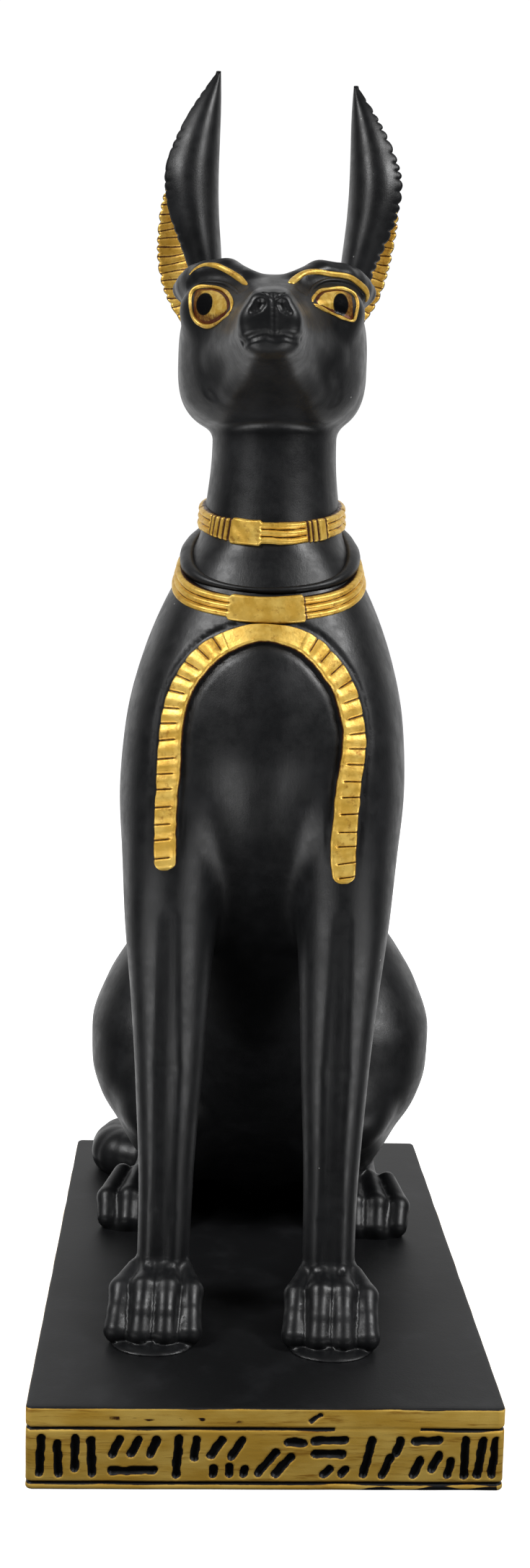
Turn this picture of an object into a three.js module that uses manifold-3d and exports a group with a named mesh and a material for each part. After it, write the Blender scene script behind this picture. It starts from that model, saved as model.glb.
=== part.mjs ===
// A seated jackal figurine of Anubis in black cast resin with gold trim, fixed on a low inscribed base block.
// Millimetres, +Z up. The origin is at the centre of the block's underside and the jackal faces -Y.
// The jackal is one casting. Its body is a smooth field, negative inside, whose zero surface is meshed,
// and the raised trim is lofted over that surface and joined to it.
import * as THREE from 'three';
import { mergeVertices } from 'three/addons/utils/BufferGeometryUtils.js';
import Module from 'manifold-3d';

// Base block
const BASE_WIDTH = 63.5;
const BASE_LENGTH = 108;
const BASE_HEIGHT = 11.5;
const BASE_CORNER = 1;
const BASE_EDGE = 0.35;
const STROKE_DEPTH = 0.6;
const STROKE_WIDTH = 0.9;
const LINE_HIGH = 8.6;
const LINE_LOW = 1;
const LINE_WIDTH = 0.35;
const LINE_DEPTH = 0.4;

// The jackal was fixed a little turned and leaning on its base
const FIGURE_TURN = THREE.MathUtils.degToRad(3.6);
const FIGURE_LEAN = Math.tan(THREE.MathUtils.degToRad(0.5));
const FIGURE_PIVOT = { x: -0.45, y: 5 };

// Raised trim
const COLLAR_WIDTH = 3.9;
const COLLAR_RAISE = 1;
const NECK_BAND_WIDTH = 3.5;
const NECK_BAND_RAISE = 0.95;
const RIBBON_RAISE = 0.75;
const RIBBON_PITCH = 2.25;
const BROW_RADIUS = 0.75;
const EYE_RIM_RADIUS = 0.42;
const EAR_NOTCH_PITCH = 1.35;
const EAR_NOTCH_DEPTH = 0.55;

// Mesh sizes
const CELL = 1;
const COARSE_CELL = 1.5;
const FINE_ABOVE = 138;
const FINE_BELOW = 22;
const FINE_WEIGHT = 4;
const PULL = 0.002;
const FIGURE_TRIANGLES = 3300;

const wasm = await Module();
wasm.setup();

// Field arithmetic. The last argument is the width over which the two surfaces flow together.
const join = (a, b, soft) => {
  const near = Math.max(soft - Math.abs(a - b), 0);
  return Math.min(a, b) - (near * near) / (4 * soft);
};
const both = (a, b, soft) => -join(-a, -b, soft);
const carve = (a, tool, soft) => -join(-a, tool, soft);

// Smooth curves through a table whose first column is the place along the body.
function curves(rows) {
  const at = rows.map((row) => row[0]);
  const slope = rows.map((row, i) =>
    row.map((value, c) => {
      if (i === 0 || i === rows.length - 1) return 0;
      const before = (value - rows[i - 1][c]) / (at[i] - at[i - 1]);
      const after = (rows[i + 1][c] - value) / (at[i + 1] - at[i]);
      return before * after <= 0 ? 0 : (2 * before * after) / (before + after);
    }),
  );
  return (t) => {
    let i = 0;
    while (i < rows.length - 2 && t > at[i + 1]) i++;
    const step = at[i + 1] - at[i];
    const s = THREE.MathUtils.clamp((t - at[i]) / step, 0, 1);
    const h = s * s * (3 - 2 * s);
    const out = [];
    for (let c = 1; c < rows[i].length; c++) {
      const bend = s * (1 - s) * step * ((1 - s) * slope[i][c] - s * slope[i + 1][c]);
      out.push(rows[i][c] * (1 - h) + rows[i + 1][c] * h + bend);
    }
    return out;
  };
}

// A body of rounded sections stacked from the first row's place to the last.
// Each row holds: place, side centre, half width, near edge, widest place and far edge of the section.
function stack(rows, power = 2, round = 2) {
  const section = curves(rows);
  const first = rows[0][0];
  const last = rows[rows.length - 1][0];
  return (side, depth, place) => {
    const ends = Math.max(first - place, place - last);
    if (ends > 8) return ends;
    const [centre, half, near, middle, far] = section(place);
    const reach = depth < middle ? middle - near : far - middle;
    const u = Math.abs(side - centre) / half;
    const v = Math.abs(depth - middle) / reach;
    const q = Math.max((u ** power + v ** power) ** (1 / power), 1e-4);
    const steep = Math.hypot((u / q) ** (power - 1) / half, (v / q) ** (power - 1) / reach);
    return both((q - 1) / steep, ends, round);
  };
}

// A ball stretched to three radii, turned about X by a tilt in degrees.
function egg(x, y, z, rx, ry, rz, tilt = 0) {
  const c = Math.cos(THREE.MathUtils.degToRad(tilt));
  const s = Math.sin(THREE.MathUtils.degToRad(tilt));
  return (px, py, pz) => {
    const dx = px - x;
    const dy = (py - y) * c + (pz - z) * s;
    const dz = (pz - z) * c - (py - y) * s;
    const k0 = Math.hypot(dx / rx, dy / ry, dz / rz);
    const k1 = Math.hypot(dx / rx ** 2, dy / ry ** 2, dz / rz ** 2);
    return k1 < 1e-6 ? -Math.min(rx, ry, rz) : (k0 * (k0 - 1)) / k1;
  };
}

// A rod through points, each row holding x, y, z and radius.
function rod(rows) {
  return (x, y, z) => {
    let best = Infinity;
    for (let i = 0; i < rows.length - 1; i++) {
      const [ax, ay, az, ar] = rows[i];
      const [bx, by, bz, br] = rows[i + 1];
      const along = (x - ax) * (bx - ax) + (y - ay) * (by - ay) + (z - az) * (bz - az);
      const length2 = (bx - ax) ** 2 + (by - ay) ** 2 + (bz - az) ** 2;
      const t = THREE.MathUtils.clamp(along / length2, 0, 1);
      const far = Math.hypot(x - ax - t * (bx - ax), y - ay - t * (by - ay), z - az - t * (bz - az));
      best = join(best, far - ar - t * (br - ar), 0.4);
    }
    return best;
  };
}

// Body and neck, level sections from the rump on the base to the back of the head
const trunk = stack([
  [7.5, 0, 12, 25, 37, 47.5],
  [18, 0, 14.5, 17, 33, 48.5],
  [30, 0, 16, 5, 27, 47.5],
  [45, 0, 16.5, -6, 19, 43],
  [60, 0, 16.3, -15, 10, 36.5],
  [74, 0, 16.5, -23.5, 2, 29],
  [86, 0, 17.4, -30, -3, 22],
  [96, 0, 17.7, -32, -6, 16],
  [106, 0, 16.6, -30, -8, 11],
  [113, 0, 14.8, -27, -8.5, 7.5],
  [118, 0, 13, -24.6, -8.5, 5.8],
  [122, 0, 11.6, -22.8, -8.5, 4.8],
  [125.5, 0, 10.4, -21.6, -8.2, 4],
  [130, 0, 9.8, -20.6, -8, 3.5],
  [137, 0, 9.1, -19.6, -7.5, 4],
  [146, 0, 9.1, -18.5, -7, 5],
  [154, 0, 8.5, -16, -6.5, 5],
], 2.1);

// Foreleg with the shoulder above it, on the +X side, and the shallow hollow down its front
const foreleg = stack([
  [12.5, 12.2, 4.2, -30, -25.8, -21.5],
  [20, 12.1, 3.8, -29.8, -25.7, -21.6],
  [30, 12, 3.9, -29.6, -25.2, -20.6],
  [47, 12, 4.8, -30, -24.6, -19],
  [60, 12.2, 5.7, -30.4, -23.5, -16.5],
  [70, 12.4, 6.7, -30.8, -21.5, -12],
  [80, 12.2, 7.8, -31, -18, -7],
  [90, 11.5, 9.3, -30.5, -15, -1],
  [100, 10.4, 9.7, -28.5, -13, 1],
  [109, 8.6, 9.1, -25.8, -11.5, 0.5],
  [117, 6.2, 8, -22, -10.5, -1],
  [122, 5, 6, -20, -9.5, -3],
], 2.2, 3);
const shinHollow = rod([
  [12.1, -32.4, 70, 1.2],
  [12.1, -31.4, 50, 1.8],
  [12.1, -30.8, 22, 1.5],
]);

// Thigh, and the shin folded under it
const haunch = stack([
  [17, 11.5, 6, 15, 23, 34],
  [20, 11.6, 7, 11.5, 22.5, 36.5],
  [23, 12, 8.6, 8.5, 22, 38.5],
  [28, 12.8, 11, 5, 21, 40],
  [33, 13.6, 13.1, 2.5, 20.5, 41.5],
  [38, 14, 14.1, 2, 20.5, 42],
  [44, 14, 14.3, 3.5, 21, 41.5],
  [51, 13.5, 12.6, 7.5, 22.5, 39.5],
  [56, 13, 10.2, 11.5, 23.5, 37],
  [60, 12.6, 7, 15.5, 24.5, 34],
  [63, 12.4, 3.5, 19, 25, 31],
], 2.1, 1);
const shin = rod([
  [15, 6, 33, 6.5],
  [15.5, 27, 19, 4.2],
]);

// Rear foot and front paw, stacked from toes to heel, each with long toes on top
const rearFoot = stack([
  [6.5, 18.6, 5.2, 7, 12, 14.5],
  [9, 18.6, 6, 6, 12, 16.5],
  [14, 18.2, 5.8, 6, 12, 18.6],
  [22, 17.2, 4.2, 6, 12, 20.2],
  [34, 16.8, 4, 6, 12, 19.5],
], 2.3, 2.5);
const rearToes = [-5.4, -1.8, 1.8, 5.4].map((side) => {
  const back = Math.abs(side) * 0.22;
  return rod([
    [18 + side * 0.8, 16, 18.2, 1.5],
    [18.6 + side, 9.6 + back, 16.6 - back * 0.8, 1.95],
    [18.6 + side * 0.96, 7.2 + back, 13.2, 1.8],
  ]);
});
const frontPaw = stack([
  [-36.5, 12.6, 5, 7, 12, 14.5],
  [-34, 12.6, 6, 6, 12, 17],
  [-29.5, 12.5, 6, 6, 12, 19.8],
  [-25, 12.4, 5.4, 6, 12, 20.5],
  [-20.5, 12.3, 4.4, 6, 12, 17],
], 2.3, 2.5);
const frontToes = [-5.1, -1.7, 1.7, 5.1].map((side) => {
  const back = Math.abs(side) * 0.35;
  return rod([
    [12.4 + side * 0.7, -27.5, 20.6 - back * 0.6, 1.4],
    [12.6 + side, -33.5 + back, 18 - back * 0.9, 1.85],
    [12.6 + side, -36.4 + back * 0.7, 13.2, 1.75],
  ]);
});
const pawLedge = egg(12.6, -35.4, 11.6, 5.8, 4.4, 0.9);

// Tail, from the rump round the -X side of the haunch
const tail = rod([
  [0, 45.5, 24, 5],
  [-8, 47.5, 16.5, 4.8],
  [-18, 46.5, 15, 4.7],
  [-24.5, 41.5, 14.8, 4.6],
  [-25, 36, 14.8, 4.4],
  [-19, 32.5, 14.8, 4],
]);

// Head, upright sections stacked from nose to nape
const HEAD_CENTRE = -0.6;
const skull = stack([
  [-43.8, 0, 3.1, 150, 152.6, 155.2],
  [-42, 0, 4.2, 148.8, 152.5, 156.2],
  [-37, 0, 4.8, 147.5, 152.3, 157.2],
  [-31, 0, 5.9, 146, 152, 158.3],
  [-26, 0, 8, 144.4, 152, 160],
  [-21.5, 0, 11, 142.2, 151.5, 161.3],
  [-16, 0, 13.1, 140.4, 150.5, 161.9],
  [-9, 0, 13.7, 139.6, 150, 162.6],
  [-2, 0, 13, 140.6, 150.5, 163],
  [4, 0, 10, 145, 152, 161.5],
  [8, 0, 5, 149, 153, 157.5],
], 3, 1.5);
const browRidge = rod([
  [13, -12, 160.2, 1.6],
  [10.6, -15.5, 161, 2.1],
  [7, -18.8, 160.6, 2.1],
  [3.2, -22, 158.8, 1.5],
]);
const eyeSocket = egg(8.9, -25.2, 157, 4.6, 3.2, 3);
// Ear: a tall shell curled round a hollow that opens outwards.
// Each row holds: height, spine, front edge, rear edge, front of the curl, rear of the curl and wall thickness.
const earAt = curves([
  [152, 9.3, 10.5, 11.5, -2.5, 3.5, 3],
  [157, 8.9, 11.8, 14.8, -4.5, 6, 3],
  [160, 8.7, 12.4, 17, -5.6, 7, 2.8],
  [164, 8.5, 13.4, 18.6, -6.2, 7.8, 2.6],
  [168, 8.7, 15, 19.2, -6.4, 8, 2.5],
  [173, 9.1, 16.9, 19, -6.2, 7.8, 2.4],
  [178, 9.3, 17.6, 17.9, -5.6, 7.2, 2.2],
  [183, 9.4, 16.2, 15.8, -4.2, 6, 2],
  [188, 9.5, 13.8, 13.4, -2.4, 4.4, 1.6],
  [191.5, 9.7, 11.7, 11.5, -0.6, 3, 1.2],
  [193.6, 9.9, 10.4, 10.3, 1, 1.8, 0.7],
]);
const RIGHT_EAR_DROP = 1.8;
const RIGHT_EAR_TUCK = 2.9;

// The outline of the shell at a height, outer side first
function earSection(side, z) {
  const [spine, frontEdge, rearEdgeThere, front, rear, wall] = earAt(z);
  const tuck = side > 0 ? RIGHT_EAR_TUCK * THREE.MathUtils.smoothstep(176 - z, 0, 8) : 0;
  const rearEdge = rearEdgeThere - tuck;
  const middle = (front + rear) / 2;
  const half = wall / 2;
  const curl = [
    [frontEdge, front + (middle - front) * 0.42, 0.12],
    [frontEdge * 0.62 + spine * 0.38, front + half + 0.2, 0.75],
    [frontEdge * 0.25 + spine * 0.75 + half * 0.5, front + (middle - front) * 0.3 + half * 0.6, 0.95],
    [spine + half, middle, 1],
    [rearEdge * 0.25 + spine * 0.75 + half * 0.5, rear + (middle - rear) * 0.3 - half * 0.6, 0.95],
    [rearEdge * 0.62 + spine * 0.38, rear - half - 0.2, 0.75],
    [rearEdge, rear + (middle - rear) * 0.35, 0.12],
  ];
  const outer = [];
  const inner = [];
  curl.forEach(([x, y, share], i) => {
    const [ax, ay] = curl[Math.max(i - 1, 0)];
    const [bx, by] = curl[Math.min(i + 1, curl.length - 1)];
    const length = Math.hypot(bx - ax, by - ay);
    const nx = ((ay - by) / length) * half * share;
    const ny = ((bx - ax) / length) * half * share;
    outer.push([side * (x - nx), y - ny, z]);
    inner.unshift([side * (x + nx), y + ny, z]);
  });
  return [...outer, ...inner];
}

// The jackal in its own frame, without its trim. A part farther than the limit is passed over.
function jackal(x, y, z) {
  const side = Math.abs(x);
  let d = trunk(x, y, z);
  if (z < 72) {
    d = join(d, haunch(side, y, z), 4);
    d = join(d, shin(side, y, z), 3);
  }
  if (z < 32) {
    d = join(d, rearFoot(side, z, y), 2.5);
    for (const toe of rearToes) d = join(d, toe(side, y, z), 0.5);
    d = join(d, tail(x, y, z), 1.5);
  }
  if (z < 130) {
    const leg = carve(foreleg(side, y, z), shinHollow(side, y, z), 1.5);
    d = join(d, leg, 4);
  }
  if (z < 32) {
    d = join(d, frontPaw(side, z, y), 2);
    for (const toe of frontToes) d = join(d, toe(side, y, z), 0.5);
    d = join(d, pawLedge(side, y, z), 0.3);
  }
  if (z < 132) return d;
  const across = Math.abs(x - HEAD_CENTRE);
  let head = skull(across, z, y);
  head = join(head, browRidge(across, y, z), 1.5);
  head = carve(head, eyeSocket(across, y, z), 1);
  return join(d, head, 3);
}

// From the jackal's own frame to the part's frame, in which it is turned and leans
function toPart([x, y, z]) {
  const c = Math.cos(FIGURE_TURN);
  const s = Math.sin(FIGURE_TURN);
  const dy = y - FIGURE_PIVOT.y;
  const lean = FIGURE_LEAN * (z - BASE_HEIGHT);
  return [c * x + s * dy + FIGURE_PIVOT.x + lean, c * dy - s * x + FIGURE_PIVOT.y, z];
}

// Marching tetrahedra: each grid cell is split into six tetrahedra round its diagonal,
// and the surface crosses a tetrahedron as one triangle or two.
const TETRAHEDRA = [[0, 1, 3, 7], [0, 3, 2, 7], [0, 2, 6, 7], [0, 6, 4, 7], [0, 4, 5, 7], [0, 5, 1, 7]];
const EVEN_ORDERS = [
  [0, 1, 2, 3], [0, 2, 3, 1], [0, 3, 1, 2], [1, 0, 3, 2], [1, 2, 0, 3], [1, 3, 2, 0],
  [2, 0, 1, 3], [2, 1, 3, 0], [2, 3, 0, 1], [3, 0, 2, 1], [3, 1, 0, 2], [3, 2, 1, 0],
];
const CROSSINGS = [
  [],
  [[[0, 1], [0, 2], [0, 3]]],
  [[[0, 2], [0, 3], [1, 3]], [[0, 2], [1, 3], [1, 2]]],
  [[[0, 3], [1, 3], [2, 3]]],
  [],
];
const BLOCK = 4;

function meshField(field, xs, ys, zs) {
  const [nx, ny, nz] = [xs.length, ys.length, zs.length];
  const value = new Float32Array(nx * ny * nz);
  const index = (i, j, k) => (k * ny + j) * nx + i;
  // Blocks far from the surface take the value at their middle
  for (let k = 0; k < nz; k += BLOCK)
    for (let j = 0; j < ny; j += BLOCK)
      for (let i = 0; i < nx; i += BLOCK) {
        const ends = [[xs, i], [ys, j], [zs, k]].map(([axis, n]) => [axis[n], axis[Math.min(n + BLOCK, axis.length - 1)]]);
        const middle = field(...ends.map(([a, b]) => (a + b) / 2));
        const whole = Math.abs(middle) > Math.hypot(...ends.map(([a, b]) => b - a));
        for (let c = k; c < Math.min(k + BLOCK, nz); c++)
          for (let b = j; b < Math.min(j + BLOCK, ny); b++)
            for (let a = i; a < Math.min(i + BLOCK, nx); a++)
              value[index(a, b, c)] = whole ? middle : field(xs[a], ys[b], zs[c]) || 1e-6;
      }
  const placeOf = (n) => [xs[n % nx], ys[Math.floor(n / nx) % ny], zs[Math.floor(n / (nx * ny))]];
  const corner = [];
  for (let c = 0; c < 8; c++) corner.push(index(c & 1, (c >> 1) & 1, c >> 2));
  const points = [];
  const vertexOf = new Map();
  function vertexOn(a, b) {
    const key = Math.min(a, b) * value.length + Math.max(a, b);
    if (!vertexOf.has(key)) {
      const t = THREE.MathUtils.clamp(value[a] / (value[a] - value[b]), 0.2, 0.8);
      const from = placeOf(a);
      const to = placeOf(b);
      vertexOf.set(key, points.length);
      points.push(from.map((start, i) => start + t * (to[i] - start)));
    }
    return vertexOf.get(key);
  }
  const triangles = [];
  for (let n = 0; n < value.length - corner[7]; n++) {
    let inside = 0;
    for (const c of corner) if (value[n + c] < 0) inside++;
    if (inside === 0 || inside === 8) continue;
    for (const tetrahedron of TETRAHEDRA) {
      const at = tetrahedron.map((c) => n + corner[c]);
      const count = at.reduce((sum, m) => sum + (value[m] < 0), 0);
      const order = EVEN_ORDERS.find((o) => o.every((c, i) => value[at[c]] < 0 === i < count));
      for (const crossing of CROSSINGS[count])
        triangles.push(crossing.map(([a, b]) => vertexOn(at[order[a]], at[order[b]])));
    }
  }
  return { points, triangles };
}

// The field's value and slope at a point
function slopeAt(field, p) {
  const h = 0.05;
  const d = field(...p);
  const slope = p.map((value, i) => {
    const q = [...p];
    q[i] = value + h;
    return (field(...q) - d) / h;
  });
  return { d, slope: new THREE.Vector3(...slope) };
}

// Moves every point onto the zero surface along the field's slope.
function settle(points, field, reach) {
  for (const p of points)
    for (let pass = 0; pass < 2; pass++) {
      const { d, slope } = slopeAt(field, p);
      const move = THREE.MathUtils.clamp(d / Math.max(slope.lengthSq(), 0.2), -reach, reach);
      slope.toArray().forEach((g, i) => (p[i] -= move * g));
    }
}

// A heap of edges, the cheapest first.
class Heap {
  items = [];
  push(item) {
    const a = this.items;
    let i = a.push(item) - 1;
    while (i > 0) {
      const up = (i - 1) >> 1;
      if (a[up].cost <= a[i].cost) break;
      [a[up], a[i]] = [a[i], a[up]];
      i = up;
    }
  }
  pop() {
    const a = this.items;
    const top = a[0];
    const end = a.pop();
    if (!a.length) return top;
    a[0] = end;
    let i = 0;
    for (;;) {
      let least = 2 * i + 1;
      if (least >= a.length) break;
      if (least + 1 < a.length && a[least + 1].cost < a[least].cost) least++;
      if (a[i].cost <= a[least].cost) break;
      [a[i], a[least]] = [a[least], a[i]];
      i = least;
    }
    return top;
  }
}

// Merges the ends of edges, those first that move the surface least, until few enough triangles are left.
function simplify({ points, triangles }, wanted) {
  const p = points.map((q) => new THREE.Vector3(...q));
  const facesOf = p.map(() => new Set());
  triangles.forEach((t, f) => t.forEach((v) => facesOf[v].add(f)));
  const normalOf = (t, swap = -1, place = null) => {
    const [a, b, c] = t.map((v) => (v === swap ? place : p[v]));
    return new THREE.Vector3().subVectors(b, a).cross(new THREE.Vector3().subVectors(c, a));
  };
  // Each vertex sums the squared distances to the planes of its faces: terms xx xy xz yy yz zz x y z and one
  const quadric = p.map(() => new Float64Array(10));
  for (const t of triangles) {
    const n = normalOf(t);
    const area = n.length();
    if (area < 1e-9) continue;
    n.divideScalar(area);
    const { x, y, z } = n;
    const d = -n.dot(p[t[0]]);
    const terms = [x * x, x * y, x * z, y * y, y * z, z * z, x * d, y * d, z * d, d * d];
    const middle = t.reduce((sum, v) => sum + p[v].z / 3, 0);
    const weight = area * (middle > FINE_ABOVE || middle < FINE_BELOW ? FINE_WEIGHT : 1);
    for (const v of t) {
      terms.forEach((q, i) => (quadric[v][i] += q * weight));
      // A weak pull to the vertex's first place keeps the triangles even
      const pull = [1, 0, 0, 1, 0, 1, -p[v].x, -p[v].y, -p[v].z, p[v].lengthSq()];
      pull.forEach((q, i) => (quadric[v][i] += q * area * PULL));
    }
  }
  const errorAt = (q, { x, y, z }) =>
    q[0] * x * x + 2 * q[1] * x * y + 2 * q[2] * x * z + q[3] * y * y + 2 * q[4] * y * z + q[5] * z * z +
    2 * (q[6] * x + q[7] * y + q[8] * z) + q[9];
  const solve = new THREE.Matrix3();
  function bestPlace(a, b) {
    const q = quadric[a].map((value, i) => value + quadric[b][i]);
    const middle = p[a].clone().lerp(p[b], 0.5);
    solve.set(q[0], q[1], q[2], q[1], q[3], q[4], q[2], q[4], q[5]);
    const best = new THREE.Vector3(-q[6], -q[7], -q[8]).applyMatrix3(solve.invert());
    const place = best.distanceTo(middle) < p[a].distanceTo(p[b]) ? best : middle;
    return { place, cost: errorAt(q, place) };
  }
  const version = new Int32Array(p.length);
  const heap = new Heap();
  const offer = (a, b) => {
    const { place, cost } = bestPlace(a, b);
    heap.push({ a, b, place, cost, stamp: version[a] + version[b] });
  };
  const neighbours = (v) => {
    const found = new Set();
    for (const f of facesOf[v]) for (const w of triangles[f]) if (w !== v) found.add(w);
    return found;
  };
  p.forEach((_, v) => neighbours(v).forEach((w) => w > v && offer(v, w)));
  let left = triangles.length;
  while (left > wanted && heap.items.length) {
    const { a, b, place, stamp } = heap.pop();
    if (!facesOf[a].size || !facesOf[b].size || stamp !== version[a] + version[b]) continue;
    const beside = neighbours(b);
    const shared = [...neighbours(a)].filter((v) => beside.has(v));
    if (shared.length !== 2) continue;
    const turned = [[a, b], [b, a]].some(([v, other]) =>
      [...facesOf[v]].some((f) => {
        if (triangles[f].includes(other)) return false;
        const before = normalOf(triangles[f]);
        const after = normalOf(triangles[f], v, place);
        return before.dot(after) < 0.3 * before.length() * after.length() || after.length() < 0.02;
      }),
    );
    if (turned) continue;
    const going = [...facesOf[a]].filter((f) => facesOf[b].has(f));
    for (const f of going) for (const v of triangles[f]) facesOf[v].delete(f);
    for (const f of facesOf[b]) {
      triangles[f] = triangles[f].map((v) => (v === b ? a : v));
      facesOf[a].add(f);
    }
    facesOf[b].clear();
    p[a].copy(place);
    quadric[b].forEach((value, i) => (quadric[a][i] += value));
    left -= going.length;
    version[a]++;
    for (const v of neighbours(a)) offer(a, v);
  }
  const kept = [...new Set(facesOf.flatMap((faces) => [...faces]))].map((f) => triangles[f]);
  const used = [...new Set(kept.flat())];
  const renumber = new Map(used.map((v, i) => [v, i]));
  return {
    points: used.map((v) => p[v].toArray()),
    triangles: kept.map((t) => t.map((v) => renumber.get(v))),
  };
}

// A closed surface through rows of points, each row a ring. The rows close on themselves or end in flat caps.
function loft(rows, closed) {
  const n = rows[0].length;
  const triangles = [];
  rows.forEach((_, r) => {
    if (r === rows.length - 1 && !closed) return;
    const here = r * n;
    const next = ((r + 1) % rows.length) * n;
    for (let i = 0; i < n; i++) {
      const j = (i + 1) % n;
      triangles.push([here + i, here + j, next + j], [here + i, next + j, next + i]);
    }
  });
  const end = (rows.length - 1) * n;
  for (let i = 1; i < n - 1 && !closed; i++) triangles.push([0, i + 1, i], [end, end + i, end + i + 1]);
  return { points: rows.flat(), triangles };
}

// A solid in the part's frame from a mesh in the jackal's frame, whichever way round its faces run.
function solidOf({ points, triangles }) {
  const placed = points.map((p) => new THREE.Vector3(...toPart(p)));
  const volume = triangles.reduce((sum, [a, b, c]) => {
    return sum + placed[a].dot(new THREE.Vector3().crossVectors(placed[b], placed[c]));
  }, 0);
  const outward = volume > 0 ? triangles : triangles.map(([a, b, c]) => [a, c, b]);
  return new wasm.Manifold(new wasm.Mesh({
    numProp: 3,
    vertProperties: new Float32Array(placed.flatMap((p) => p.toArray())),
    triVerts: new Uint32Array(outward.flat()),
  }));
}

function solidOfGeometry(geometry) {
  const bare = geometry.clone();
  bare.deleteAttribute('normal');
  bare.deleteAttribute('uv');
  const merged = mergeVertices(bare, 1e-4);
  return new wasm.Manifold(new wasm.Mesh({
    numProp: 3,
    vertProperties: new Float32Array(merged.attributes.position.array),
    triVerts: new Uint32Array(merged.index.array),
  }));
}

function geometryOf(solid) {
  const { numProp, vertProperties, triVerts } = solid.getMesh();
  const vertices = new THREE.InterleavedBuffer(vertProperties, numProp);
  const made = new THREE.BufferGeometry();
  made.setAttribute('position', new THREE.InterleavedBufferAttribute(vertices, 3, 0));
  made.setIndex(new THREE.BufferAttribute(triVerts, 1));
  made.computeVertexNormals();
  return made;
}

function box(low, high) {
  const size = high.map((value, i) => value - low[i]);
  return new THREE.BoxGeometry(...size).translate(...low.map((value, i) => value + size[i] / 2));
}

// The first point of the jackal's surface met from a start along a direction.
function surfaceFrom(start, direction, far = 60) {
  let inner = 0;
  let outer = 0;
  while (outer < far && jackal(...start.clone().addScaledVector(direction, outer).toArray()) > 0) {
    inner = outer;
    outer += 0.5;
  }
  for (let i = 0; i < 20; i++) {
    const middle = (inner + outer) / 2;
    if (jackal(...start.clone().addScaledVector(direction, middle).toArray()) > 0) inner = middle;
    else outer = middle;
  }
  return start.clone().addScaledVector(direction, inner);
}
const onFront = (x, z) => surfaceFrom(new THREE.Vector3(x, -60, z), new THREE.Vector3(0, 1, 0));
const outwardAt = (p) => slopeAt(jackal, p.toArray()).slope.normalize();

// A trim laid along a path on the surface. The profile gives [across, height] pairs for each row of the path.
function trim(path, outwards, profileOf, closed) {
  const rows = path.map((p, i) => {
    const before = path[closed ? (i + path.length - 1) % path.length : Math.max(i - 1, 0)];
    const after = path[closed ? (i + 1) % path.length : Math.min(i + 1, path.length - 1)];
    const along = after.clone().sub(before).normalize();
    const across = outwards[i].clone().cross(along).normalize();
    return profileOf(i).map(([side, height]) =>
      p.clone().addScaledVector(across, side).addScaledVector(outwards[i], height).toArray());
  });
  return solidOf(loft(rows, closed));
}

// A band round the neck, its plane tilted down towards the front
function band(centre, tilt, profileOf, turns) {
  const slope = THREE.MathUtils.degToRad(tilt);
  const path = [];
  const outwards = [];
  for (const turn of turns) {
    const a = THREE.MathUtils.degToRad(turn);
    const out = new THREE.Vector3(Math.sin(a), -Math.cos(a) * Math.cos(slope), -Math.cos(a) * Math.sin(slope));
    const p = surfaceFrom(centre.clone().addScaledVector(out, 30), out.clone().negate(), 29);
    path.push(p);
    outwards.push(outwardAt(p).add(out).normalize());
  }
  return trim(path, outwards, (i) => profileOf(turns[i]), true);
}

// Broad collar: three flutes with a plain plate in front
const COLLAR_PLATE_TURN = 15;
function collar() {
  const w = COLLAR_WIDTH / 2;
  const h = COLLAR_RAISE;
  const sides = [[-w, -3], [-w, h * 0.5]];
  const ends = [[w, h * 0.5], [w, -3]];
  const plain = [[-w * 0.8, h], [-w * 0.4, h], [-w * 0.3, h], [w * 0.3, h], [w * 0.4, h], [w * 0.8, h]];
  const fluted = [
    [-w * 0.8, h * 0.9], [-w * 0.42, h * 0.95], [-w * 0.28, h * 0.45],
    [w * 0.28, h * 0.95], [w * 0.42, h * 0.45], [w * 0.8, h * 0.9],
  ];
  const turns = [];
  for (let turn = -165; turn <= 180; turn += 15) {
    if (Math.abs(turn) === COLLAR_PLATE_TURN) turns.push(turn - 1, turn + 1);
    else turns.push(turn);
  }
  const profileOf = (turn) => [...sides, ...(Math.abs(turn) < COLLAR_PLATE_TURN ? plain : fluted), ...ends];
  return band(new THREE.Vector3(0.3, -8.5, 121.5), 20, profileOf, turns);
}

// Neck band with bars and a plain clasp
function neckBand() {
  const w = NECK_BAND_WIDTH / 2;
  const h = NECK_BAND_RAISE;
  const bars = [-38, -32, -27, 27, 33, 39];
  const turns = [];
  for (let turn = -165; turn <= 180; turn += 15) if (Math.abs(turn) > 45 || Math.abs(turn) < 16) turns.push(turn);
  for (const bar of bars) turns.push(bar - 1.6, bar + 1.6);
  turns.push(-44, -43, 44, 45, -20, 20);
  turns.sort((a, b) => a - b);
  const profileOf = (turn) => {
    const low = bars.some((bar) => Math.abs(Math.abs(turn - bar) - 1.6) < 0.01) ? 0.55 : 0.9;
    const rise = Math.abs(turn) < 21 ? 1.1 : low;
    return [[-w, -2], [-w, h * 0.4], [-w * 0.75, h * rise], [w * 0.75, h * rise], [w, h * 0.4], [w, -2]];
  };
  return band(new THREE.Vector3(0, -8, 128.6), 11.8, profileOf, turns);
}

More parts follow.
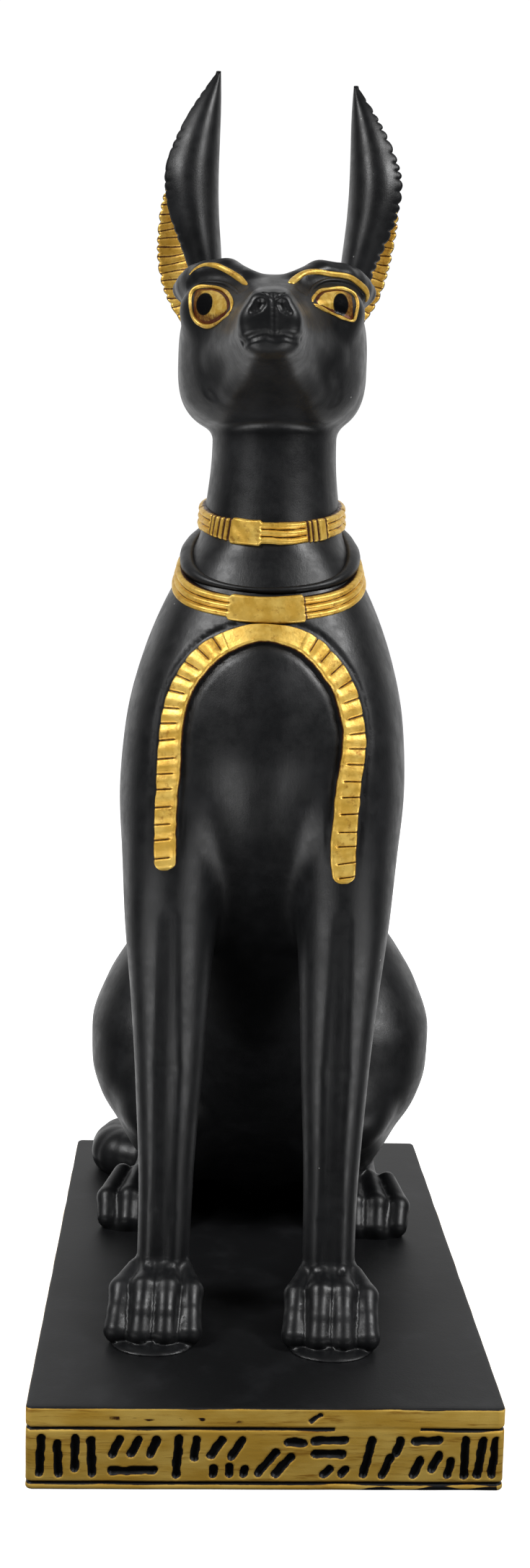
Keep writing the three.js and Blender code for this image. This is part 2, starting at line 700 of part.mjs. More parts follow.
// Ribbon hanging from the collar down both shoulders, cut across at an even pitch.
// Each row holds: side, height and width of the ribbon.
const RIBBON = [
  [-12.7, 78.9, 2.4],
  [-12.8, 80.4, 3.1],
  [-12.9, 87, 3.2],
  [-12.7, 92, 3.5],
  [-12.6, 96, 3.6],
  [-12.4, 99.4, 3.6],
  [-11.7, 102.8, 3.6],
  [-10.2, 106, 3.6],
  [-7.8, 108.9, 3.4],
  [-4.5, 110.9, 3],
  [-0.8, 112, 2.6],
  [3.2, 111.6, 2.9],
  [6.2, 110.3, 3.3],
  [8.8, 107.9, 3.5],
  [10.9, 105, 3.5],
  [12.1, 101.7, 3.5],
  [12.8, 98.2, 3.4],
  [12.7, 94.6, 3.4],
  [12.35, 91.8, 3.4],
  [12.1, 87.2, 3.5],
  [11.9, 82.4, 3.6],
  [12.1, 79, 3.3],
  [12.2, 77.7, 2.4],
];
function ribbon() {
  const line = new THREE.CatmullRomCurve3(RIBBON.map(([x, z, width]) => new THREE.Vector3(x, width, z)));
  const length = line.getLength();
  const cuts = Math.round(length / RIBBON_PITCH);
  const places = [0];
  for (let i = 1; i < cuts; i++) places.push(i / cuts - 0.25 / length, i / cuts, i / cuts + 0.25 / length);
  places.push(1);
  const onLine = places.map((t) => line.getPointAt(t));
  const path = onLine.map(({ x, z }) => onFront(x, z));
  const outwards = path.map(outwardAt);
  const profileOf = (i) => {
    const w = onLine[i].y / 2;
    const cut = i % 3 === 2 && Math.abs(onLine[i].x) > 5;
    const h = cut ? RIBBON_RAISE * 0.35 : RIBBON_RAISE;
    return [[-w, -0.8], [-w * 0.94, h * 0.8], [w * 0.94, h * 0.8], [w, -0.8]];
  };
  return trim(path, outwards, profileOf, false);
}

// Eyebrow, eye and its rim on one side of the face
function round(radius, sides, sink) {
  return Array.from({ length: sides }, (_, i) => {
    const a = (i / sides) * Math.PI * 2;
    return [radius * Math.cos(a), radius * Math.sin(a) - sink];
  });
}
const BROW = [[3.1, 159.4], [4.9, 161.2], [7, 162.2], [9.2, 162.4], [11.2, 161.8], [12.7, 160.4]];
const EYE = [
  [4.9, 156.2], [5.7, 157.9], [7.2, 159.3], [8.9, 159.8], [10.5, 159.2], [11.6, 157.7],
  [11.6, 156.1], [10.3, 154.9], [8.6, 154.7], [6.6, 155.3],
];
function face(side) {
  const at = ([x, z]) => onFront(HEAD_CENTRE + side * x, z);
  const brow = BROW.map(at);
  const thick = [0.45, 0.9, 1, 1, 0.9, 0.5];
  const browSolid = trim(brow, brow.map(outwardAt), (i) => round(BROW_RADIUS * thick[i], 6, 0.1), false);
  const rim = EYE.map(at);
  const middle = at([8.3, 157.2]);
  const outwards = rim.map((p) => outwardAt(p).add(new THREE.Vector3(0, -2, 0)).normalize());
  const rimSolid = trim(rim, outwards, () => round(EYE_RIM_RADIUS, 5, 0.1), true);
  const ball = new THREE.SphereGeometry(1, 10, 6).scale(3.1, 1.6, 2.3).rotateZ(side * 0.75);
  ball.translate(middle.x, middle.y + 0.75, middle.z);
  const merged = mergeVertices(bareOf(ball), 1e-4);
  const position = merged.attributes.position;
  const points = Array.from({ length: position.count }, (_, i) => new THREE.Vector3().fromBufferAttribute(position, i).toArray());
  const triangles = Array.from({ length: merged.index.count / 3 }, (_, f) => [0, 1, 2].map((i) => merged.index.getX(3 * f + i)));
  return browSolid.add(rimSolid).add(solidOf({ points, triangles }));
}
function bareOf(geometry) {
  geometry.deleteAttribute('normal');
  geometry.deleteAttribute('uv');
  return geometry;
}

// The mouth, a groove from cheek to cheek round the tip of the muzzle
const MOUTH = [[-22, 146.8], [-26, 147.8], [-30, 148.6], [-34, 149.3], [-38, 149.8], [-41, 150.2]];
function mouth() {
  const side = (sign) => MOUTH.map(([y, z]) =>
    surfaceFrom(new THREE.Vector3(HEAD_CENTRE + sign * 25, y, z), new THREE.Vector3(-sign, 0, 0)));
  const tip = [2, 0, -2].map((x) => onFront(HEAD_CENTRE + x, 150.6));
  const path = [...side(1), ...tip, ...side(-1).reverse()];
  const last = path.length - 1;
  const depthOf = (i) => (i === 0 || i === last ? 0.1 : 0.55);
  return trim(path, path.map(outwardAt), (i) => [[-0.4, 0.3], [0.4, 0.3], [0, -depthOf(i)]], false);
}

// Ear on one side, its front edge cut with small notches
const EAR_LEVELS = [152, 158, 162, 166, 170, 174, 178, 182, 186, 189.5, 192, 193.6];
function ear(side) {
  const drop = side > 0 ? RIGHT_EAR_DROP : 0;
  const sections = EAR_LEVELS.map((z) => earSection(side, z).map(([x, y]) => [x, y, z - (drop * (z - 152)) / 42]));
  let shell = solidOf(loft(sections, false));
  for (let z = 167; z < 189; z += EAR_NOTCH_PITCH) {
    const [x, y] = earSection(side, z)[0];
    const w = EAR_NOTCH_PITCH * 0.32;
    const corners = [[side * 2, -w], [side * 2, w], [-side * EAR_NOTCH_DEPTH, 0]];
    const height = z - (drop * (z - 152)) / 42;
    const rows = [y - 3, y + 1.5].map((depth) => corners.map(([dx, dz]) => [x + dx, depth, height + dz]));
    shell = shell.subtract(solidOf(loft(rows, false)));
  }
  return shell;
}

// Evenly spaced places between the ends of runs, each run holding start, end and cell
function levels(...runs) {
  const places = [];
  for (const [from, to, cell] of runs) {
    const count = Math.round((to - from) / cell);
    for (let i = 0; i < count; i++) places.push(from + ((to - from) * i) / count);
  }
  return [...places, runs[runs.length - 1][1]];
}

// The jackal with its trim, cut flat where it stands on the base
function figure() {
  const xs = levels([-33, 33, CELL]);
  const ys = levels([-47, 57, CELL]);
  const zs = levels([6, 24, CELL], [24, 136, COARSE_CELL], [136, 167, CELL]);
  const fine = meshField(jackal, xs, ys, zs);
  settle(fine.points, jackal, CELL / 3);
  const faceted = simplify(fine, FIGURE_TRIANGLES);
  settle(faceted.points, jackal, CELL / 3);
  let body = solidOf(faceted);
  body = body.subtract(mouth());
  for (const piece of [collar(), neckBand(), ribbon(), face(1), face(-1), ear(1), ear(-1)]) body = body.add(piece);
  const ground = solidOfGeometry(box([-80, -80, -20], [80, 80, BASE_HEIGHT]));
  return geometryOf(body.subtract(ground));
}

// Inscription on the block's front as rows of plain strokes, each from one end to the other: x, z, x, z
const STROKES = [
  [-29.8, 2.3, -29.6, 7.2], [-27.2, 2.2, -27.4, 7], [-25.6, 2.3, -25.5, 7.2], [-23.2, 2.2, -23.4, 7.1],
  [-20.6, 4.9, -20.5, 7.2], [-17.6, 4.3, -17.6, 7.2], [-14.7, 4.9, -14.6, 7.2], [-20.3, 2.6, -15, 2.7],
  [-11.7, 2.2, -11.5, 7.2], [-9.2, 4.3, -9.3, 7.2],
  [-7.3, 5, -5.6, 7.1], [-4.7, 6.8, -2.6, 5.3], [-7, 2.3, -6.9, 3.1], [-4.8, 2.3, -4.8, 3.2], [-2.9, 2.3, -2.8, 3.1],
  [-0.9, 2.5, 1.3, 4.4], [2.7, 2.2, 2.9, 5.8], [3.1, 7.1, 5.1, 6.7],
  [6.9, 7, 9.7, 7], [6.1, 4.7, 10.6, 4.7], [6.2, 2.5, 9.3, 2.4],
  [13.2, 2.2, 13.3, 7.2], [15, 5.5, 16.4, 5.6], [15, 2.4, 17.6, 2.3],
  [19.4, 7, 24.2, 7], [20.3, 2.3, 20.6, 5.2], [22.2, 2.9, 22.2, 4.6], [24.2, 2.3, 24, 5.2],
  [26.4, 2.2, 26.5, 7.2], [28.2, 2.2, 28.8, 7.1], [30, 2.3, 30.5, 7],
];

// A slot cut into the front face from one point to another
function slot(ax, az, bx, bz, width, depth) {
  const length = Math.hypot(bx - ax, bz - az) + width * 0.6;
  const cut = new THREE.BoxGeometry(length, depth * 2, width);
  cut.rotateY(-Math.atan2(bz - az, bx - ax));
  return solidOfGeometry(cut.translate((ax + bx) / 2, -BASE_LENGTH / 2, (az + bz) / 2));
}

// The base block: rounded corners, an engraved line above and below on each side, and strokes in front
function base() {
  const w = BASE_WIDTH / 2 - BASE_EDGE;
  const l = BASE_LENGTH / 2 - BASE_EDGE;
  const r = BASE_CORNER;
  const outline = new THREE.Shape();
  outline.absarc(w - r, l - r, r, 0, Math.PI / 2);
  outline.absarc(r - w, l - r, r, Math.PI / 2, Math.PI);
  outline.absarc(r - w, r - l, r, Math.PI, Math.PI * 1.5);
  outline.absarc(w - r, r - l, r, Math.PI * 1.5, Math.PI * 2);
  const block = new THREE.ExtrudeGeometry(outline, {
    depth: BASE_HEIGHT - 2 * BASE_EDGE,
    bevelThickness: BASE_EDGE,
    bevelSize: BASE_EDGE,
    bevelSegments: 2,
    curveSegments: 3,
  }).translate(0, 0, BASE_EDGE);
  let solid = solidOfGeometry(block);
  for (const z of [LINE_HIGH, LINE_LOW]) {
    const long = BASE_WIDTH / 2;
    const wide = BASE_LENGTH / 2;
    const low = z - LINE_WIDTH / 2;
    const high = z + LINE_WIDTH / 2;
    for (const side of [-1, 1]) {
      const x = side * long;
      const y = side * wide;
      solid = solid.subtract(solidOfGeometry(box([x - LINE_DEPTH, -80, low], [x + LINE_DEPTH, 80, high])));
      solid = solid.subtract(solidOfGeometry(box([-80, y - LINE_DEPTH, low], [80, y + LINE_DEPTH, high])));
    }
  }
  for (const stroke of STROKES) solid = solid.subtract(slot(...stroke, STROKE_WIDTH, STROKE_DEPTH));
  // A chip in the front's upper border
  solid = solid.subtract(slot(5.9, 9.7, 7.2, 10.7, 0.5, 0.3));
  return geometryOf(solid);
}

const blackResin = new THREE.MeshStandardMaterial({ color: 0x17181a, roughness: 0.42, metalness: 0 });
const goldPaint = new THREE.MeshStandardMaterial({ color: 0xb08a35, roughness: 0.4, metalness: 0.7 });

const root = new THREE.Group();
function add(name, geometry, material) {
  const mesh = new THREE.Mesh(geometry, material);
  mesh.name = name;
  root.add(mesh);
}
add('figure', figure(), blackResin);
add('base', base(), goldPaint);

export default root;
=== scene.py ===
import bpy
import numpy as np
from mathutils import Matrix


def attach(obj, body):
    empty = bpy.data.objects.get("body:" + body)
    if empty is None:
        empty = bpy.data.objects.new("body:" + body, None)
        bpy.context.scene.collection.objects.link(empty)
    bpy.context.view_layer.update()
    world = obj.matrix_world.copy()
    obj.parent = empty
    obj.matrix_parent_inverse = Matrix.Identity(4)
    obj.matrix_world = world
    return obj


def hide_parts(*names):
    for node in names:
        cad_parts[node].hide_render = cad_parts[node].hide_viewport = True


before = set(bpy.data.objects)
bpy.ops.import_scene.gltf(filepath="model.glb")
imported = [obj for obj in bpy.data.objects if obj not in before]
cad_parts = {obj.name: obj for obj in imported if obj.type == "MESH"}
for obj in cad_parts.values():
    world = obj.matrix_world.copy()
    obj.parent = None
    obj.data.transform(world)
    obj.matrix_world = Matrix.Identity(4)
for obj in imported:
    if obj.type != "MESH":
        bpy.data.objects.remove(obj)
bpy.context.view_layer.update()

BASE_WIDTH, BASE_LENGTH, BASE_HEIGHT = 63.5, 108.0, 11.5
BASE_CORNER, BASE_EDGE = 1.0, 0.35
LINE_HIGH, LINE_LOW = 8.6, 1.0
FIGURE_TURN = np.radians(3.6)
FIGURE_LEAN = np.tan(np.radians(0.5))
PIVOT_X, PIVOT_Y = -0.45, 5.0
HEAD_CENTRE = -0.6


# Field arithmetic: negative inside, and the last argument is how widely two surfaces flow together
def step_up(low, high, x):
    """0 at low and 1 at high, and smooth between them, whichever is the greater."""
    t = np.clip((x - low) / (high - low), 0, 1)
    return t * t * (3 - 2 * t)


def join(a, b, soft):
    near = np.maximum(soft - np.abs(a - b), 0)
    return np.minimum(a, b) - near * near / (4 * soft)


def both(a, b, soft):
    return -join(-a, -b, soft)


def carve(a, tool, soft):
    return -join(-a, tool, soft)


def curves(rows, soften=2.0):
    """Smooth curves through a table whose first column is the place along the body."""
    rows = np.array(rows, float)
    at, value = rows[:, 0], rows[:, 1:]
    slope = np.zeros_like(value)
    for i in range(1, len(rows) - 1):
        before = (value[i] - value[i - 1]) / (at[i] - at[i - 1])
        after = (value[i + 1] - value[i]) / (at[i + 1] - at[i])
        rising = before * after > 0
        slope[i][rising] = 2 * before[rising] * after[rising] / (before + after)[rising]
    fine = np.linspace(at[0], at[-1], int((at[-1] - at[0]) / 0.1) + 2)
    i = np.clip(np.searchsorted(at, fine) - 1, 0, len(at) - 2)
    step = (at[i + 1] - at[i])[:, None]
    s = (fine[:, None] - at[i][:, None]) / step
    h = s * s * (3 - 2 * s)
    table = value[i] * (1 - h) + value[i + 1] * h + s * (1 - s) * step * ((1 - s) * slope[i] - s * slope[i + 1])
    reach = int(soften * 30)
    if reach and len(fine) > 2 * reach:
        weights = np.exp(-0.5 * (np.arange(-reach, reach + 1) * 0.1 / soften) ** 2)
        weights /= weights.sum()
        for c in range(table.shape[1]):
            first, last = table[0, c], table[-1, c]
            rise = (table[reach, c] - first) / reach
            fall = (last - table[-reach - 1, c]) / reach
            before = first + rise * np.arange(-reach, 0)
            after = last + fall * np.arange(1, reach + 1)
            table[:, c] = np.convolve(np.concatenate([before, table[:, c], after]), weights, "valid")
    return lambda t: [np.interp(t, fine, table[:, c]) for c in range(table.shape[1])]


def stack(rows, power=2.0, rounding=2.0, soften=2.0):
    """Rounded sections stacked along a line. Each row: place, side centre, half width, near, widest and far."""
    section = curves(rows, soften)
    first, last = rows[0][0], rows[-1][0]

    def field(side, depth, place):
        centre, half, near, middle, far = section(place)
        reach = np.where(depth < middle, middle - near, far - middle)
        u = np.abs(side - centre) / half
        v = np.abs(depth - middle) / reach
        k = power(place) if callable(power) else power
        q = np.maximum((u**k + v**k) ** (1 / k), 1e-4)
        steep = np.hypot((u / q) ** (k - 1) / half, (v / q) ** (k - 1) / reach)
        return both((q - 1) / steep, np.maximum(first - place, place - last), rounding)

    return field


def egg(x, y, z, rx, ry, rz):
    def field(px, py, pz):
        dx, dy, dz = px - x, py - y, pz - z
        k0 = np.sqrt((dx / rx) ** 2 + (dy / ry) ** 2 + (dz / rz) ** 2)
        k1 = np.sqrt((dx / rx**2) ** 2 + (dy / ry**2) ** 2 + (dz / rz**2) ** 2)
        return k0 * (k0 - 1) / np.maximum(k1, 1e-6)

    return field


def rod(rows, blend=0.4):
    """A round rod through points, each row holding x, y, z and radius."""
    rows = np.array(rows, float)

    def field(x, y, z):
        best = None
        for a, b in zip(rows[:-1], rows[1:]):
            d = b[:3] - a[:3]
            t = np.clip(((x - a[0]) * d[0] + (y - a[1]) * d[1] + (z - a[2]) * d[2]) / (d @ d), 0, 1)
            far = np.sqrt((x - a[0] - t * d[0]) ** 2 + (y - a[1] - t * d[1]) ** 2 + (z - a[2] - t * d[2]) ** 2)
            here = far - a[3] - t * (b[3] - a[3])
            best = here if best is None else join(best, here, blend)
        return best

    return field


def soft_rod(rows, spacing, blend=0.2):
    """A round rod without creases through closely spaced points, each row holding x, y, z and radius."""
    crowding = blend * np.log(np.sqrt(2 * np.pi * blend * rows[:, 3]) / spacing)

    def field(x, y, z):
        total = np.zeros(x.shape)
        for (px, py, pz, radius), crowd in zip(rows, crowding):
            far = np.sqrt((x - px) ** 2 + (y - py) ** 2 + (z - pz) ** 2)
            total += np.exp((radius - crowd - far) / blend)
        return -blend * np.log(np.maximum(total, 1e-300))

    return field


def flowing(points, count, closed=False):
    """Points evenly spaced along a smooth curve through the given ones."""
    points = np.array(points, float)
    n = len(points)
    dense = []
    for i in range(n if closed else n - 1):
        p0, p1, p2, p3 = (
            points[(i + k) % n] if closed else points[np.clip(i + k, 0, n - 1)] for k in (-1, 0, 1, 2)
        )
        for t in np.linspace(0, 1, 24, endpoint=False):
            dense.append(0.5 * (2 * p1 + (p2 - p0) * t + (2 * p0 - 5 * p1 + 4 * p2 - p3) * t**2
                                + (3 * p1 - p0 - 3 * p2 + p3) * t**3))
    dense.append(points[0] if closed else points[-1])
    dense = np.array(dense)
    along = np.concatenate([[0], np.cumsum(np.linalg.norm(np.diff(dense, axis=0), axis=1))])
    places = np.linspace(0, along[-1], count + (1 if closed else 0))[:count]
    return np.stack([np.interp(places, along, dense[:, c]) for c in range(dense.shape[1])], 1), along[-1]


# The jackal's body
trunk = stack([
    [7.5, 0, 12, 25, 37, 47.5], [18, 0, 14.5, 17, 33, 48.5], [30, 0, 16, 5, 27, 47.5],
    [45, 0, 16.5, -6, 19, 43], [60, 0, 16.3, -15, 10, 36.5], [74, 0, 16.5, -23.5, 2, 29],
    [86, 0, 17.4, -30, -3, 22], [96, 0, 17.7, -32, -6, 16], [106, 0, 16.6, -30, -8, 11],
    [113, 0, 14.8, -27, -8.5, 7.5], [118, 0, 13, -24.6, -8.5, 5.8], [122, 0, 11.6, -22.8, -8.5, 4.8],
    [125.5, 0, 10.4, -21.6, -8.2, 4], [130, 0, 9.8, -20.6, -8, 3.5], [137, 0, 9.1, -19.6, -7.5, 4],
    [146, 0, 9.1, -18.5, -7, 5], [154, 0, 8.5, -16, -6.5, 5],
], 2.1)

foreleg = stack([
    [12.5, 12.2, 4.2, -30, -25.8, -21.5], [20, 12.1, 3.8, -29.8, -25.7, -21.6], [30, 12, 3.9, -29.6, -25.2, -20.6],
    [47, 12, 4.8, -30, -24.6, -19], [60, 12.2, 5.7, -30.4, -23.5, -16.5], [70, 12.4, 6.7, -30.8, -21.5, -12],
    [80, 12.2, 7.8, -31, -18, -7], [90, 11.5, 9.3, -30.5, -15, -1], [100, 10.4, 9.7, -28.5, -13, 1],
    [109, 8.6, 9.1, -25.8, -11.5, 0.5], [117, 6.2, 8, -22, -10.5, -1], [122, 5, 6, -20, -9.5, -3],
], 2.2, 3)
shin_hollow = rod([[12.1, -32.4, 72, 1.2], [12.1, -31.4, 50, 1.8], [12.1, -30.8, 22, 1.5]])
wrist_lines = [
    rod([[10.9, -30.1, 36, 0.15], [10.7, -29.9, 28, 0.42], [10.5, -30.4, 21, 0.4]]),
    rod([[13.5, -30.1, 38, 0.15], [13.6, -29.9, 29, 0.42], [14, -30.4, 21, 0.4]]),
]

haunch = stack([
    [17, 11.5, 6, 15, 23, 34], [20, 11.6, 7, 11.5, 22.5, 36.5], [23, 12, 8.6, 8.5, 22, 38.5],
    [28, 12.8, 11, 5, 21, 40], [33, 13.6, 13.1, 2.5, 20.5, 41.5], [38, 14, 14.1, 2, 20.5, 42],
    [44, 14, 14.3, 3.5, 21, 41.5], [51, 13.5, 12.6, 7.5, 22.5, 39.5], [56, 13, 10.2, 11.5, 23.5, 37],
    [60, 12.6, 7.6, 15, 24.2, 34.6], [62.4, 12.4, 4.6, 18, 24.6, 31.8], [63.5, 12.4, 1.8, 21.6, 24.8, 28.2],
], 2.1, 1, 0.6)
shin = rod([[15, 6, 33, 6.5], [15.5, 27, 19, 4.2]])

rear_foot = stack([
    [6.5, 18.6, 5.2, 7, 12, 14.5], [9, 18.6, 6, 6, 12, 16.5], [14, 18.2, 5.8, 6, 12, 18.6],
    [22, 17.2, 4.2, 6, 12, 20.2], [34, 16.8, 4, 6, 12, 19.5],
], 2.3, 2.5, 0)
rear_toes = [
    rod([
        [18 + s * 0.8, 16, 18.2, 1.5],
        [18.6 + s, 9.6 + abs(s) * 0.22, 16.6 - abs(s) * 0.18, 1.95],
        [18.6 + s * 0.96, 7.2 + abs(s) * 0.22, 13.2, 1.8],
    ])
    for s in (-5.4, -1.8, 1.8, 5.4)
]
front_paw = stack([
    [-36.5, 12.6, 5, 7, 12, 14.5], [-34, 12.6, 6, 6, 12, 17], [-29.5, 12.5, 6, 6, 12, 19.8],
    [-25, 12.4, 5.4, 6, 12, 20.5], [-20.5, 12.3, 4.4, 6, 12, 17],
], 2.3, 2.5, 0)
front_toes = [
    rod([
        [12.4 + s * 0.7, -27.5, 20.6 - abs(s) * 0.21, 1.2],
        [12.6 + s * 0.95, -32.4 + abs(s) * 0.35, 18.9 - abs(s) * 0.3, 1.95],
        [12.6 + s, -35 + abs(s) * 0.33, 16.2 - abs(s) * 0.2, 1.6],
        [12.6 + s * 1.02, -36.4 + abs(s) * 0.25, 13.3, 1.85],
    ])
    for s in (-5.1, -1.7, 1.7, 5.1)
]
paw_ledge = egg(12.6, -35.4, 11.6, 5.8, 4.4, 0.9)
tail = rod(flowing([
    [0, 45.5, 24, 5], [-8, 47.5, 16.5, 4.8], [-18, 46.5, 15, 4.7],
    [-24.5, 41.5, 14.8, 4.6], [-25, 36, 14.8, 4.4], [-19, 32.5, 14.8, 4],
], 22)[0], 0.2)

skull = stack([
    [-43.8, 0, 3, 149.6, 151.9, 155.2], [-42, 0, 4, 148.6, 151.3, 156.1], [-37, 0, 4.9, 147.3, 150.9, 157.2],
    [-31, 0, 5.9, 146, 151.3, 158.3], [-26, 0, 7.9, 144.4, 151.8, 160], [-21.5, 0, 11, 142.2, 151.5, 161.3],
    [-16, 0, 13.1, 140.4, 150.5, 161.9], [-9, 0, 13.7, 139.6, 150, 162.6], [-2, 0, 13, 140.6, 150.5, 163],
    [4, 0, 10, 145, 152, 161.5], [8, 0, 5, 149, 153, 157.5],
], lambda y: 3 - 0.9 * step_up(24, 33, -y), 3.2, 0.8)
brow_ridge = rod([[13, -12, 160.2, 1.6], [10.6, -15.5, 161, 2.1], [7, -18.8, 160.6, 2.1], [3.2, -22, 158.8, 1.5]])
brow_mass = rod([[11.8, -14.5, 160.4, 1.6], [9.4, -18, 161.2, 2], [6.4, -20.4, 161.3, 2], [4, -23.3, 160.1, 1.4]])
orbit = egg(8.7, -19.6, 156.6, 4.1, 4, 3.6)
occiput = egg(0, 2.4, 153.6, 9.3, 6.8, 8.6)
nose_lobe = egg(2.4, -42.3, 152.7, 1.5, 1.7, 1.7)
chin = egg(0, -41, 150, 2.6, 1.9, 1.2)
# The lips' line from the image's left to its right: side and height
LIPS = np.array([
    [-12, 138], [-8.33, 145.3], [-7.46, 146.5], [-6.5, 147.8], [-5.3, 149.1], [-3.75, 149.8], [-2.5, 150.4],
    [-0.8, 150.8], [0.45, 150.5], [1.6, 150.7], [2.8, 150.5], [3.96, 150.5], [4.88, 150.3], [5.8, 149.1],
    [6.84, 147.4], [7.69, 146], [11, 138],
])
details = []


def nose_block(across, y, z):
    """The nose: a flat front under a short level top edge, with sides that spread and then close to the lips."""
    side = both((across - 2.3 - 0.38 * (155.9 - z)) / 1.07, (across - 3.9 + 0.95 * (151.8 - z)) / 1.38, 2)
    top = z - 155.9 - 0.2 * (y + 43.5)
    front = -43.8 - y - 0.1 * (z - 155)
    hidden = both(148.6 - z, y + 38, 1.5)
    return both(both(side, top, 0.9), both(front, hidden, 1), 1.1)


def detailed(d, x, y, z):
    """Adds the small ridges and grooves drawn on the surface, each only near itself."""
    for mix, shape, low, high, soft in details:
        near = (x > low[0]) & (x < high[0]) & (y > low[1]) & (y < high[1]) & (z > low[2]) & (z < high[2])
        if near.any():
            d[near] = mix(d[near], shape(x[near], y[near], z[near]), soft)
    return d


# Ribbon over the shoulders. Each row: side, height and width.
RIBBON = np.array([
    [-12.7, 78.9, 2.4], [-12.8, 80.4, 3.1], [-12.9, 87, 3.2], [-12.7, 92, 3.5], [-12.6, 96, 3.6],
    [-12.4, 99.4, 3.6], [-11.7, 102.8, 3.6], [-10.2, 106, 3.6], [-7.8, 108.9, 3.4], [-4.5, 110.9, 3],
    [-0.8, 112, 2.6], [3.2, 111.6, 2.9], [6.2, 110.3, 3.3], [8.8, 107.9, 3.5], [10.9, 105, 3.5],
    [12.1, 101.7, 3.5], [12.8, 98.2, 3.4], [12.7, 94.6, 3.4], [12.35, 91.8, 3.4], [12.1, 87.2, 3.5],
    [11.9, 82.4, 3.6], [12.1, 79, 3.3], [12.2, 77.7, 2.4],
])
RIBBON_PITCH = 2.25


# The distance from the ribbon's edge, looked up on a grid, gives the shallow trench that runs beside it
ribbon_line, ribbon_length = flowing(RIBBON, 400)
TRENCH_X, TRENCH_Z, TRENCH_CELL = -20.0, 72.0, 0.2
grid_x, grid_z = np.meshgrid(np.arange(TRENCH_X, 20.1, TRENCH_CELL), np.arange(TRENCH_Z, 118.1, TRENCH_CELL), indexing="ij")
trench_grid = np.full(grid_x.shape, 1e3)
for line_x, line_z, line_width in ribbon_line:
    edge = np.hypot(grid_x - line_x, grid_z - line_z) - line_width / 2
    trench_grid = np.minimum(trench_grid, edge)


def trench(x, y, z):
    u = np.clip((x - TRENCH_X) / TRENCH_CELL, 0, trench_grid.shape[0] - 2)
    v = np.clip((z - TRENCH_Z) / TRENCH_CELL, 0, trench_grid.shape[1] - 2)
    i, j = u.astype(int), v.astype(int)
    u, v = u - i, v - j
    edge = (trench_grid[i, j] * (1 - u) + trench_grid[i + 1, j] * u) * (1 - v) + (
        trench_grid[i, j + 1] * (1 - u) + trench_grid[i + 1, j + 1] * u) * v
    return np.where(y < -8, 0.24 * step_up(80, 85, z) * np.exp(-(((edge - 0.3) / 0.5) ** 2)), 0)


def jackal_low(x, y, z, side):
    d = join(trunk(x, y, z), haunch(side, y, z), 4)
    d = join(d, shin(side, y, z), 3)
    d = join(d, rear_foot(side, z, y), 2.5)
    for toe in rear_toes:
        d = join(d, toe(side, y, z), 0.8)
    d = join(d, tail(x, y, z), 1.5)
    leg = carve(foreleg(side, y, z), shin_hollow(side, y, z), 1.5)
    d = join(d, leg, 4)
    d = join(d, front_paw(side, z, y), 2)
    for toe in front_toes:
        d = join(d, toe(side, y, z), 0.8)
    for line in wrist_lines:
        d = carve(d, line(side, y, z), 0.7)
    return join(d, paw_ledge(side, y, z), 0.3)


def jackal_middle(x, y, z, side):
    d = join(trunk(x, y, z), haunch(side, y, z), 4)
    d = join(d, shin(side, y, z), 3)
    leg = carve(foreleg(side, y, z), shin_hollow(side, y, z), 1.5)
    d = join(d, leg, 4)
    for line in wrist_lines:
        d = carve(d, line(side, y, z), 0.7)
    return d


def jackal_high(x, y, z, side):
    leg = carve(foreleg(side, y, z), shin_hollow(side, y, z), 1.5)
    return join(trunk(x, y, z), leg, 4) + trench(x, y, z)


def jackal_head(x, y, z, side):
    # The muzzle turns a little to the side, and the lower jaw lies a little behind the lips
    across = np.abs(x - HEAD_CENTRE - 0.4 * step_up(20, 42, -y))
    head = skull(across, z, y)
    head = join(head, orbit(across, y, z), 2.5)
    head = join(head, occiput(across, y, z), 3)
    head = join(head, brow_ridge(across, y, z), 2.6)
    head = join(head, brow_mass(across, y, z), 2)
    head = join(head, nose_block(across, y, z), 2.2)
    head = join(head, nose_lobe(across, y, z), 0.9)
    head = join(head, chin(across, y, z), 2.2)
    head = head + 0.25 * step_up(0, 2.4, np.interp(x, LIPS[:, 0], LIPS[:, 1]) - z) * step_up(26, 36, -y)
    return detailed(join(trunk(x, y, z), head, 1.4), x, y, z)


ZONES = [(-1e3, 32, jackal_low), (32, 72, jackal_middle), (72, 130, jackal_high), (130, 1e3, jackal_head)]


def jackal(p):
    x, y, z = p[..., 0], p[..., 1], p[..., 2]
    out = np.empty(x.shape)
    for low, high, zone in ZONES:
        here = (z >= low) & (z < high)
        if here.any():
            out[here] = zone(x[here], y[here], z[here], np.abs(x[here]))
    return out


def slope_at(p, h=0.04):
    out = np.empty(p.shape)
    for axis in range(3):
        step = np.zeros(3)
        step[axis] = h
        out[..., axis] = (jackal(p + step) - jackal(p - step)) / (2 * h)
    return out


def unit(v):
    return v / np.maximum(np.linalg.norm(v, axis=-1, keepdims=True), 1e-12)


def levels(*runs):
    """Evenly spaced places between the ends of runs, each run holding start, end and cell."""
    places = [np.linspace(a, b, max(round((b - a) / cell), 1), endpoint=False) for a, b, cell in runs]
    return np.concatenate([*places, [runs[-1][1]]])


